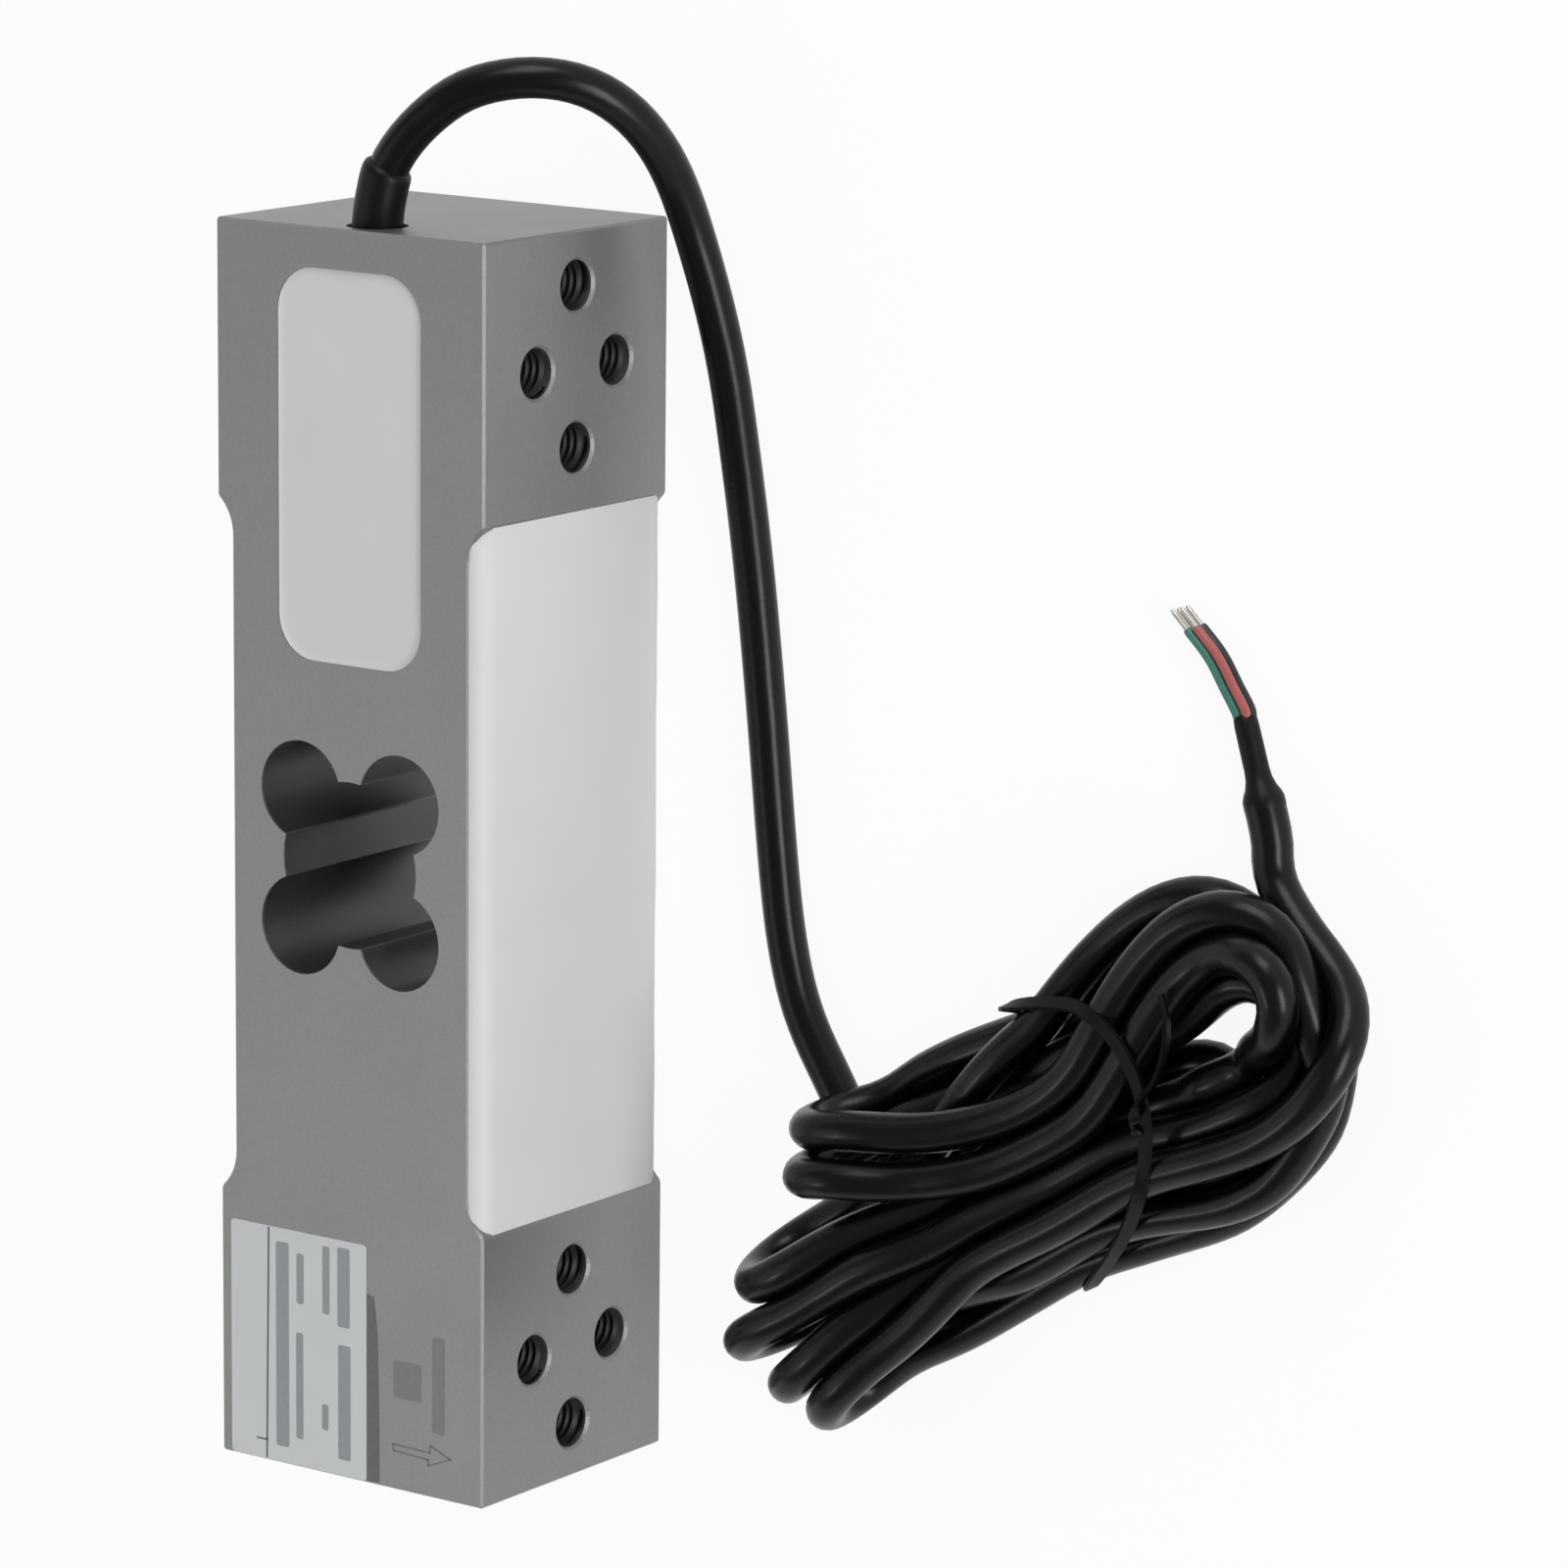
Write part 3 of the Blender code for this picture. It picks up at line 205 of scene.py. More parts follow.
# The tie's loose end: from the twist on top of the loop towards the eye, as u, v and height in mm.
TIE_END = (
    (11.6, -4.6, 14.0), (12.6, -2.4, 14.6), (14.2, -1.0, 14.8), (16.8, 0.2, 14.6), (19.4, 2.6, 14.4),
    (21.2, 5.6, 14.2), (21.8, 8.6, 14.0),
)
TIE_END_STEP = 0.25
TIE_TWIST_LENGTH = 4.0
TIE_TWIST = 1.5 * math.pi

# The plain marks on the label and beside it on the side face, as x and y in mm.
LABEL_RULE = ((-46.0, 12.5), (-74.5, 12.9))
LABEL_TICK = ((-72.4, 14.4), (-72.4, 12.9))
# A dark grey strip along the label's edge, drawn as a thin patch on the side face.
DARK_STRIP = (
    (-74.7, -2.6), (-74.6, -4.4), (-66.0, -4.35), (-60.0, -4.25), (-56.0, -4.1), (-53.5, -3.8),
    (-51.9, -3.6), (-51.6, -2.6),
)
LABEL_FIELDS = (
    ((-72.8, 9.4), (-47.4, 11.4)),
    ((-71.4, 7.2), (-58.2, 8.3)),
    ((-54.6, 7.1), (-48.4, 8.2)),
    ((-69.6, 3.3), (-66.4, 4.3)),
    ((-55.2, 3.1), (-46.8, 4.2)),
    ((-72.8, -0.1), (-58.6, 1.8)),
    ((-56.4, 0.0), (-46.6, 1.9)),
)
ARROW = (
    (-69.4, -6.5), (-70.2, -6.6), (-70.4, -11.8), (-71.1, -11.9), (-69.8, -15.2), (-68.6, -12.2),
    (-69.5, -12.1),
)
ETCHED_SQUARE = ((-63.6, -10.8), (-59.0, -6.6))
ETCHED_BAND = ((-67.0, -14.3), (-55.2, -12.5))
# What lies on a face is lifted off it by this much, and what lies on the film by the second.
FACE_LIFT = 0.00001
FILM_LIFT = 0.000004

# The camera stands above the loading face and is rolled so that the bar's cable end is at the picture's top.
CAMERA_PLACE = (0.17459, -0.51428, 0.66301)
CAMERA_FORWARD = (-0.1987, 0.5721, -0.7957)
CAMERA_RIGHT = (0.0102, -0.8107, -0.5854)
CAMERA_LENS = 162.0
SENSOR_WIDTH = 36.0
CLIP_START, CLIP_END = 0.05, 20.0

# The studio: the radius of the bend between the paper's floor and its wall, and how many sides it has.
PAPER_BEND = 0.8
PAPER_SIDES = 64
AIR_STRENGTH = 0.30
LAMPS = (
    # name, place, target, width, height, watts
    ("lamp_overhead", (-0.25, 1.00, 1.35), (0.0, -0.03, 0.02), 1.10, 1.10, 3.2),
    ("lamp_cable_end", (1.30, -0.35, 0.80), (0.02, -0.04, 0.02), 0.70, 0.90, 9.0),
    ("lamp_front", (-0.10, -1.25, 0.55), (0.0, -0.05, 0.02), 0.80, 0.40, 8.8),
    ("lamp_window", (-0.62, 0.64, 1.30), (0.0, -0.10, 0.01), 0.16, 0.16, 1.4),
)


def linear(hex_colour):
    """Turns an sRGB hex colour into linear RGBA."""
    parts = [int(hex_colour[i:i + 2], 16) / 255 for i in (1, 3, 5)]
    return tuple(c / 12.92 if c <= 0.04045 else ((c + 0.055) / 1.055) ** 2.4 for c in parts) + (1.0,)


class LOADCELL_PG_cable(bpy.types.PropertyGroup):
    diameter: FloatProperty(
        name="Cable diameter", description="Outside diameter of the cable's jacket",
        default=0.0048, min=0.003, max=0.008, unit="LENGTH", precision=4,
    )
    sleeve_diameter: FloatProperty(
        name="Sleeve diameter", description="Outside diameter of the shrunk sleeve in the bar's end face",
        default=0.0060, min=0.004, max=0.010, unit="LENGTH", precision=4,
    )
    core_diameter: FloatProperty(
        name="Core diameter", description="Outside diameter of each insulated core",
        default=0.0011, min=0.0006, max=0.002, unit="LENGTH", precision=4,
    )
    tie_width: FloatProperty(
        name="Tie width", description="Width of the flat tie round the hank",
        default=0.0018, min=0.001, max=0.005, unit="LENGTH", precision=4,
    )
    tie_thickness: FloatProperty(
        name="Tie thickness", description="Thickness of the flat tie round the hank",
        default=0.0005, min=0.0003, max=0.002, unit="LENGTH", precision=4,
    )


class LOADCELL_PG_bar(bpy.types.PropertyGroup):
    thread_crest: FloatProperty(
        name="Thread crest diameter", description="Inside diameter of the screw threads",
        default=0.0051, min=0.0045, max=0.0058, unit="LENGTH", precision=4,
    )
    thread_pitch: FloatProperty(
        name="Thread pitch", description="Distance from one turn of the screw threads to the next",
        default=0.0010, min=0.0005, max=0.002, unit="LENGTH", precision=4,
    )
    seal_edge: FloatProperty(
        name="Seal edge", description="How far in from the side faces the gauge seals start to round off",
        default=0.0026, min=0.0005, max=0.006, unit="LENGTH", precision=4,
    )
    label_thickness: FloatProperty(
        name="Label thickness", description="Thickness of the label's film with its glue",
        default=0.00008, min=0.00003, max=0.0003, unit="LENGTH", precision=5,
    )


class LOADCELL_PG_colours(bpy.types.PropertyGroup):
    body: FloatVectorProperty(
        name="Bar colour", description="Colour of the bar's milled and anodised faces",
        subtype="COLOR", size=4, min=0.0, max=1.0, default=linear("#878988"),
    )
    seal: FloatVectorProperty(
        name="Seal colour", description="Colour of the silicone over the gauges and the wiring pocket",
        subtype="COLOR", size=4, min=0.0, max=1.0, default=linear("#D5D6D3"),
    )
    jacket: FloatVectorProperty(
        name="Cable colour", description="Colour of the cable's jacket",
        subtype="COLOR", size=4, min=0.0, max=1.0, default=linear("#050607"),
    )
    label: FloatVectorProperty(
        name="Label colour", description="Colour of the label's film",
        subtype="COLOR", size=4, min=0.0, max=1.0, default=linear("#C2C5C6"),
    )


class LOADCELL_PG_stage(bpy.types.PropertyGroup):
    floor_size: FloatProperty(
        name="Floor radius", description="Radius of the flat part of the studio floor",
        default=2.2, min=1.0, max=6.0, unit="LENGTH",
    )
    wall_height: FloatProperty(
        name="Wall height", description="Height of the curved wall that the floor runs up into",
        default=1.5, min=0.5, max=3.0, unit="LENGTH",
    )


def shade(colour, share):
    """The colour made darker or lighter by a share of its light, for the variation over a surface."""
    return tuple(min(c * share, 1.0) for c in colour[:3]) + (1.0,)


def per_mm(size):
    """The scale of a pattern, in object coordinates in metres, whose cells are this many millimetres."""
    return 1000.0 / size


def add_node(tree, kind, settings=None, links=None):
    """Adds a node. settings are its own values or its inputs', and links are the sockets that feed it."""
    node = tree.nodes.new(kind)
    for key, value in (settings or {}).items():
        if isinstance(key, int) or key in node.inputs:
            node.inputs[key].default_value = value
        else:
            setattr(node, key, value)
    for key, socket in (links or {}).items():
        tree.links.new(socket, node.inputs[key])
    return node


def start_finish(name):
    """A new material with an empty tree, or None with the old material where it was made before."""
    known = bpy.data.materials.get(name)
    if known:
        return known, None
    material = bpy.data.materials.new(name)
    material.use_nodes = True
    material.node_tree.nodes.clear()
    return material, material.node_tree


def grained_finish(name, dark, light, grains, shine, rough=None):
    """A finish from dark to light by its first grain.

    A grain is its cell in mm, its detail, and the strength and depth in metres of its bump, or None. shine
    holds the shader's own values, and rough is the range of roughness that the last grain spreads.
    """
    material, tree = start_finish(name)
    if tree is None:
        return material
    place = {"Vector": add_node(tree, "ShaderNodeTexCoord").outputs["Object"]}
    patterns, normal = [], {}
    for cell, detail, bump in grains:
        pattern = add_node(tree, "ShaderNodeTexNoise", {"Scale": per_mm(cell), "Detail": detail}, place)
        patterns.append(pattern.outputs["Fac"])
        if bump:
            relief = add_node(tree, "ShaderNodeBump", {"Strength": bump[0], "Distance": bump[1]},
                              {"Height": pattern.outputs["Fac"], **normal})
            normal = {"Normal": relief.outputs["Normal"]}
    tone = add_node(tree, "ShaderNodeMix", {"data_type": "RGBA", 6: dark, 7: light}, {0: patterns[0]})
    links = {"Base Color": tone.outputs[2], **normal}
    if rough:
        spread = add_node(tree, "ShaderNodeMapRange", {"To Min": rough[0], "To Max": rough[1]},
                          {"Value": patterns[-1]})
        links["Roughness"] = spread.outputs["Result"]
    shader = add_node(tree, "ShaderNodeBsdfPrincipled", {"Metallic": 0.0, **shine}, links)
    add_node(tree, "ShaderNodeOutputMaterial", None, {"Surface": shader.outputs["BSDF"]})
    return material


def anodised_aluminium(name="anodised_aluminium_milled", share=1.0):
    """6061 bar, milled fine and clear anodised: a dull grey sheen, broken by fine cutter lines along the bar.

    share darkens its colour with painted shade, for the walls of the tapped holes and of the bored cut-out.
    """
    colour = bpy.context.scene.loadcell_colours.body
    material, tree = start_finish(name)
    if tree is None:
        return material
    place = {"Vector": add_node(tree, "ShaderNodeTexCoord").outputs["Object"]}
    # Cloudy patches about 12 mm wide, as the oxide layer dulls the metal unevenly.
    cloud = add_node(tree, "ShaderNodeTexNoise", {"Scale": per_mm(12), "Detail": 3.0}, place)
    # Grain of 0.35 mm, coarser than the real 0.05 mm so that it shows.
    grain = add_node(tree, "ShaderNodeTexNoise", {"Scale": per_mm(0.35), "Detail": 2.0}, place)
    stretch = add_node(tree, "ShaderNodeMapping", {"Scale": (0.02, 1.0, 1.0)}, place)
    # Cutter lines along the bar, 0.5 mm apart.
    lines = add_node(tree, "ShaderNodeTexNoise", {"Scale": per_mm(0.5), "Detail": 2.0},
                     {"Vector": stretch.outputs["Vector"]})
    # Below 1, share paints the shade of a hole's wall into both tones.
    dark, light = shade(colour, 0.94 * share), shade(colour, 1.06 * share)
    tone = add_node(tree, "ShaderNodeMix", {"data_type": "RGBA", 6: dark, 7: light},
                    {0: cloud.outputs["Fac"]})
    speckle = add_node(tree, "ShaderNodeMix", {"data_type": "RGBA", "blend_type": "SOFT_LIGHT", 0: 0.25},
                       {6: tone.outputs[2], 7: grain.outputs["Color"]})
    rough = add_node(tree, "ShaderNodeMapRange", {"To Min": 0.40, "To Max": 0.52},
                     {"Value": cloud.outputs["Fac"]})
    ridges = add_node(tree, "ShaderNodeBump", {"Strength": 0.25, "Distance": 0.00003},
                      {"Height": lines.outputs["Fac"]})
    pits = add_node(tree, "ShaderNodeBump", {"Strength": 0.2, "Distance": 0.00003},
                    {"Height": grain.outputs["Fac"], "Normal": ridges.outputs["Normal"]})
    shader = add_node(tree, "ShaderNodeBsdfPrincipled", {"Metallic": 0.85},
                      {"Base Color": speckle.outputs[2], "Roughness": rough.outputs["Result"],
                       "Normal": pits.outputs["Normal"]})
    add_node(tree, "ShaderNodeOutputMaterial", None, {"Surface": shader.outputs["BSDF"]})
    return material


def cured_silicone():
    """One-part silicone rubber, poured and levelled by itself: soft off-white with faint dents."""
    colour = bpy.context.scene.loadcell_colours.seal
    # Dents 9 mm wide, and dust of 0.5 mm.
    return grained_finish("silicone_rubber_poured", shade(colour, 0.97), shade(colour, 1.03),
                          ((9, 2.0, (0.35, 0.0004)), (0.5, 3.0, (0.12, 0.00003))),
                          {"Roughness": 0.55, "IOR": 1.41})


def pvc_jacket():
    """Black PVC, extruded: a smooth glossy skin with slight waves from the laid cores under it."""
    colour = bpy.context.scene.loadcell_colours.jacket
    # Waves 4.5 mm long, and a skin of 0.45 mm that spreads the gloss.
    return grained_finish("pvc_extruded_black", shade(colour, 0.8), shade(colour, 1.4),
                          ((4.5, 1.0, (0.25, 0.0003)), (0.45, 2.0, (0.08, 0.00002))),
                          {"IOR": 1.5, "Specular IOR Level": 0.24}, rough=(0.24, 0.34))


def heat_shrink():
    """Black polyolefin tube, shrunk by heat: duller than the jacket, with an orange-peel skin of 0.6 mm."""
    return grained_finish("polyolefin_shrunk_black", linear("#070809"), linear("#0D0E0F"),
                          ((0.6, 2.0, (0.2, 0.00005)),),
                          {"Roughness": 0.42, "IOR": 1.49, "Specular IOR Level": 0.2})


def coated_tie():
    """Black PVC over a flat wire, extruded: a thin ribbon with a half-gloss skin and kinks every 1.6 mm."""
    return grained_finish("pvc_ribbon_black", linear("#030304"), linear("#060708"),
                          ((1.6, 2.0, (0.4, 0.0001)),),
                          {"Roughness": 0.46, "IOR": 1.5, "Specular IOR Level": 0.14})


def pvc_core(colour):
    """Coloured PVC insulation, extruded thin over the strands: half gloss, uneven in patches of 0.8 mm."""
    dark, light = CORES[colour][2:]
    return grained_finish("pvc_core_" + colour, linear(dark), linear(light), ((0.8, 2.0, (0.2, 0.00003)),),
                          {"Roughness": 0.36, "IOR": 1.52})


def tinned_copper():
    """Copper strands of 0.15 mm, twisted and dipped in solder: bright grey, with grooves between them."""
    return grained_finish("copper_tinned_stranded", linear("#A9A49E"), linear("#CFCBC4"),
                          ((0.15, 1.0, (0.5, 0.00003)),), {"Metallic": 1.0, "Roughness": 0.34})


def polyester_film():
    """Silvered polyester film, calendered and glued on: a pale blue-grey sheen with a faint roll grain."""
    colour = bpy.context.scene.loadcell_colours.label
    # Patches of glue 7 mm wide show in the colour, and the roll's grain of 0.3 mm in the sheen.
    return grained_finish("polyester_film_silvered", shade(colour, 0.97), shade(colour, 1.03),
                          ((7, 2.0, None), (0.3, 1.0, (0.08, 0.00003))),
                          {"Metallic": 0.25, "Roughness": 0.4, "IOR": 1.6})


def marking_ink(name, dark, light):
    """Grey marking ink or a shallow etched line, and the plain dark strip by the label: dull, and worn in
    patches of 0.7 mm.
    """
    return grained_finish(name, linear(dark), linear(light), ((0.7, 3.0, None),), {"Roughness": 0.6})


def inner_finish(name, dark, light, roughness, cell):
    """A finish of a piece under the silicone, with its grain of cell millimetres."""
    return grained_finish(name, linear(dark), linear(light), ((cell, 2.0, (0.2, 0.00003)),),
                          {"Roughness": roughness})


def seamless_paper():
    """White background paper: pure white to the eye and in reflections, and it still takes a soft shadow."""
    material, tree = start_finish("paper_seamless_white")
    if tree is None:
        return material
    place = {"Vector": add_node(tree, "ShaderNodeTexCoord").outputs["Object"]}
    # Fibres of 1.2 mm, coarser than real ones so that they show.
    fibre = add_node(tree, "ShaderNodeTexNoise", {"Scale": per_mm(1.2), "Detail": 3.0}, place)
    tone = add_node(tree, "ShaderNodeMix", {"data_type": "RGBA", 6: linear("#F4F4F4"), 7: linear("#F8F8F8")},
                    {0: fibre.outputs["Fac"]})
    matt = add_node(tree, "ShaderNodeBsdfDiffuse", None, {"Color": tone.outputs[2]})
    glow = add_node(tree, "ShaderNodeEmission", {"Color": (1.0, 1.0, 1.0, 1.0), "Strength": 1.0})
    ray = add_node(tree, "ShaderNodeLightPath")
    seen = add_node(tree, "ShaderNodeMath", {"operation": "MAXIMUM"},
                    {0: ray.outputs["Is Camera Ray"], 1: ray.outputs["Is Glossy Ray"]})
    seen_through = add_node(tree, "ShaderNodeMath", {"operation": "MAXIMUM"},
                            {0: seen.outputs[0], 1: ray.outputs["Is Transmission Ray"]})
    # 0.92 of plain white and 0.08 of lit paper keep a trace of the shadow.
    share = add_node(tree, "ShaderNodeMath", {"operation": "MULTIPLY", 1: 0.92}, {0: seen_through.outputs[0]})
    both = add_node(tree, "ShaderNodeMixShader", None,
                    {0: share.outputs[0], 1: matt.outputs["BSDF"], 2: glow.outputs["Emission"]})
    add_node(tree, "ShaderNodeOutputMaterial", None, {"Surface": both.outputs["Shader"]})
    return material


def new_piece(name, shape, material, smooth=True):
    """Puts a mesh or a curve in the scene as one piece that rides on the only body."""
    shape.name = name
    piece = bpy.data.objects.new(name, shape)
    bpy.context.scene.collection.objects.link(piece)
    shape.materials.append(material)
    if smooth:
        shape.shade_smooth()
        shape.set_sharp_from_angle(angle=SHARP_ANGLE)
    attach(piece, "root")
    return piece


def mesh_of(verts, faces):
    """A mesh with all its faces turned outward."""
    mesh = bpy.data.meshes.new("mesh")
    mesh.from_pydata([tuple(map(float, v)) for v in verts], [], faces)
    mesh.validate()
    work = bmesh.new()
    work.from_mesh(mesh)
    bmesh.ops.recalc_face_normals(work, faces=work.faces)
    work.to_mesh(mesh)
    work.free()
    return mesh


def join_rings(faces, first, rings, sides, loop=False):
    """Adds the faces from ring to ring of points, and closes the two end rings, or joins them in a loop."""
    for i in range(rings if loop else rings - 1):
        here, ahead = first + i * sides, first + (i + 1) % rings * sides
        for k in range(sides):
            n = (k + 1) % sides
            faces.append((here + k, here + n, ahead + n, ahead + k))
    if not loop:
        faces.append(tuple(range(first, first + sides)))
        faces.append(tuple(range(first + (rings - 1) * sides, first + rings * sides)))


def lengths_along(line):
    """How far along the line each of its points lies."""
    return np.concatenate([[0.0], np.cumsum(np.linalg.norm(np.diff(line, axis=0), axis=1))])


def even_steps(line, count):
    """The line again, cut into so many equal steps."""
    length = lengths_along(line)
    marks = np.linspace(0.0, length[-1], count + 1)
    return np.stack([np.interp(marks, length, line[:, axis]) for axis in range(line.shape[1])], 1)


def smooth_line(knots, spacing):
    """A Catmull-Rom line through the knots, cut into equal steps. Its centripetal form takes uneven knots."""
    k = np.array(knots, float)
    k = np.vstack([2 * k[0] - k[1], k, 2 * k[-1] - k[-2]])
    line, parts = [], 12
    for i in range(1, len(k) - 2):
        p0, p1, p2, p3 = k[i - 1:i + 3]
        t0 = 0.0
        t1 = t0 + np.linalg.norm(p1 - p0) ** 0.5
        t2 = t1 + np.linalg.norm(p2 - p1) ** 0.5
        t3 = t2 + np.linalg.norm(p3 - p2) ** 0.5
        for step in range(parts):
            t = t1 + (t2 - t1) * step / parts
            a1 = ((t1 - t) * p0 + (t - t0) * p1) / (t1 - t0)
            a2 = ((t2 - t) * p1 + (t - t1) * p2) / (t2 - t1)
            a3 = ((t3 - t) * p2 + (t - t2) * p3) / (t3 - t2)
            b1 = ((t2 - t) * a1 + (t - t0) * a2) / (t2 - t0)
            b2 = ((t3 - t) * a2 + (t - t1) * a3) / (t3 - t1)
            line.append(((t2 - t) * b1 + (t - t1) * b2) / (t2 - t1))
    line = np.array(line + [k[-2]])
    return even_steps(line, max(2, round(lengths_along(line)[-1] / spacing)))


def hank_point(u, v, height):
    """A point given in the hank's own axes, in mm, as a place in metres."""
    x = WAIST[0] + (u * TOWARDS_EYE[0] + v * ACROSS[0]) * MM
    y = WAIST[1] + (u * TOWARDS_EYE[1] + v * ACROSS[1]) * MM
    return (x, y, height * MM)


def upright_fold(u, v, heading, radius, height, aside, from_top):
    """The cable turns back on itself in an upright U, one strand above the other."""
    turn = math.radians(heading)
    points = []
    for angle in (95, 65, 32, 0, -32, -65, -95):
        a = math.radians(angle)
        along = radius * math.cos(a)
        across = v + along * math.sin(turn) + aside * (1 - math.sin(a)) / 2
        points.append(hank_point(u - along * math.cos(turn), across, height + radius * math.sin(a)))
    return points if from_top else points[::-1]


def hank_knots():
    """The whole cable: the lead, six and a half turns with a fold at the far end of each, and the tail."""
    knots = list(LEAD_ROUTE)
    for number, run in enumerate(HANK_RUNS):
        knots += [hank_point(*place) for place in run]
        if number < len(HANK_FOLDS):
            knots += upright_fold(*HANK_FOLDS[number])
    return knots + list(TAIL_ROUTE)


def settle(line, diameter):
    """Pushes strands apart until they touch, and keeps the line smooth, on the table and near its start."""
    home = line.copy()
    spacing = np.linalg.norm(np.diff(line, axis=0), axis=1).mean()
    held = np.zeros(len(line), bool)
    held[:HELD_AT_BAR] = True
    held[-HELD_AT_TAIL:] = True
    # Points closer than about two diameters along the cable are neighbours, and don't push each other.
    first, second = np.triu_indices(len(line), math.ceil(2.1 * diameter / spacing))
    for turn in range(SETTLE_ROUNDS):
        if turn % LOOK_AGAIN == 0:
            gap = np.linalg.norm(line[first] - line[second], axis=1)
            near_a, near_b = first[gap < 2 * diameter], second[gap < 2 * diameter]
        apart = line[near_a] - line[near_b]
        gap = np.linalg.norm(apart, axis=1) + 1e-9
        push = apart * (np.clip(diameter - gap, 0, None) * OVERLAP_SHARE / gap)[:, None]
        move = np.zeros_like(line)
        np.add.at(move, near_a, push)
        np.add.at(move, near_b, -push)
        even = (-line[:-4] + 4 * line[1:-3] + 4 * line[3:-1] - line[4:]) / 6
        move[2:-2] += KINK_SHARE * (even - line[2:-2])
        move += HOME_SHARE * (home - line)
        move[held] = 0.0
        line = line + move
        line[:, 2] = np.maximum(line[:, 2], diameter / 2)
        for _ in range(2):
            step = np.diff(line, axis=0)
            length = np.linalg.norm(step, axis=1)
            pull = step * ((length - spacing) / length * STRETCH_SHARE)[:, None]
            shift = np.zeros_like(line)
            shift[:-1] += pull
            shift[1:] -= pull
            shift[held] = 0.0
            line = line + shift
    line[:, 2] = np.maximum(line[:, 2], diameter / 2)
    return line


def tube_along(line, radii, sides):
    """A closed tube along a line, with a radius for each of its points and no twist."""
    line = np.array(line, float)
    tangents = np.gradient(line, axis=0)
    tangents /= np.linalg.norm(tangents, axis=1)[:, None]
    side = np.cross(tangents[0], (0.0, 0.0, 1.0))
    verts, faces = [], []
    for point, tangent, radius in zip(line, tangents, radii):
        side = side - tangent * (side @ tangent)
        side /= np.linalg.norm(side)
        up = np.cross(side, tangent)
        for k in range(sides):
            a = 2 * math.pi * k / sides
            verts.append(point + radius * (side * math.cos(a) + up * math.sin(a)))
    join_rings(faces, 0, len(line), sides)
    return mesh_of(verts, faces)


def rounded_outline(low, high, radius, steps):
    """A rounded rectangle from its lowest to its highest corner, with so many steps in each corner."""
    points = []
    for cx, cy, start in ((high[0] - radius, high[1] - radius, 0), (low[0] + radius, high[1] - radius, 90),
                          (low[0] + radius, low[1] + radius, 180), (high[0] - radius, low[1] + radius, 270)):
        for step in range(steps + 1):
            a = math.radians(start + 90 * step / steps)
            points.append((cx + radius * math.cos(a), cy + radius * math.sin(a)))
    return points


def flat_patch(outline, low, thickness, edge):
    """A thin flat piece with its top edge broken by a small chamfer."""
    centre = np.mean(outline, axis=0)
    high = low + thickness
    verts, faces = [], []
    for height, inset in ((low, 0.0), (high - edge, 0.0), (high, edge)):
        for x, y in outline:
            away = np.array((x, y)) - centre
            away = away / np.linalg.norm(away) * inset
            verts.append((x - away[0], y - away[1], height))
    join_rings(faces, 0, 3, len(outline))
    return mesh_of(verts, faces)


def mark_patch(corners, low, radius, steps, thickness, edge):
    """A flat patch on a rounded rectangle whose low and high corners are given in mm."""
    low_corner, high_corner = np.array(corners) * MM
    return flat_patch(rounded_outline(low_corner, high_corner, radius, steps), low, thickness, edge)


def gauge_seal_mesh(side, edge, margin):
    """Silicone that fills a loading face's recess to its ends and rounds off near the side faces."""
    cutter = RECESS_CUTTER_RADIUS
    arc_start = RECESS_END - math.sqrt(cutter ** 2 - (cutter - RECESS_DEPTH) ** 2)
    ends = np.linspace(arc_start, RECESS_END, 9)
    xs = np.concatenate([-ends[::-1], np.linspace(-arc_start, arc_start, 61)[1:-1], ends])
    rounding = edge * (1 - np.cos(np.linspace(0, math.pi / 2, 11)))
    middle = np.linspace(edge, BAR_THICKNESS - edge, 13)[1:-1]
    zs = np.concatenate([rounding, middle, BAR_THICKNESS - rounding[::-1]])
    zs = margin + zs * (BAR_THICKNESS - 2 * margin) / BAR_THICKNESS
    verts, faces = [], []
    for layer in (0, 1):
        for x in xs:
            reach = max(abs(x) - arc_start, 0.0)
            rise = cutter - math.sqrt(max(cutter ** 2 - reach ** 2, 0.0))
            # It is sunk 0.08 mm into the recess's floor, and its top lies 0.05 mm under the loading face.
            floor = HALF_WIDTH - RECESS_DEPTH + rise - 0.08 * MM
            # The edge wanders by 0.16 mm every 30 mm along the bar and by 0.09 mm every 12 mm.
            wave = 0.16 * MM * math.sin(x * 210 + 1.3 * side) + 0.09 * MM * math.sin(x * 530 + 0.7)
            span = edge + wave
            for z in zs:
                inward = min(z, BAR_THICKNESS - z) - margin
                short = max(span - inward, 0.0) / span
                drop = (RECESS_DEPTH - 0.1 * MM) * (1 - math.sqrt(max(1 - short ** 2, 0.0)))
                top = HALF_WIDTH - 0.05 * MM - drop
                verts.append((x, side * (top if layer else min(floor, top - 0.01 * MM)), z))
    rows, columns = len(xs), len(zs)
    size = rows * columns
    for i in range(rows - 1):
        for j in range(columns - 1):
            for a in (i * columns + j, size + i * columns + j):
                faces.append((a, a + 1, a + columns + 1, a + columns))
    rim = list(range(columns)) + [i * columns + columns - 1 for i in range(1, rows)]
    rim += [(rows - 1) * columns + j for j in range(columns - 2, -1, -1)]
    rim += [i * columns for i in range(rows - 2, 0, -1)]
    for a, b in zip(rim, rim[1:] + rim[:1]):
        faces.append((a, b, size + b, size + a))
    return mesh_of(verts, faces)


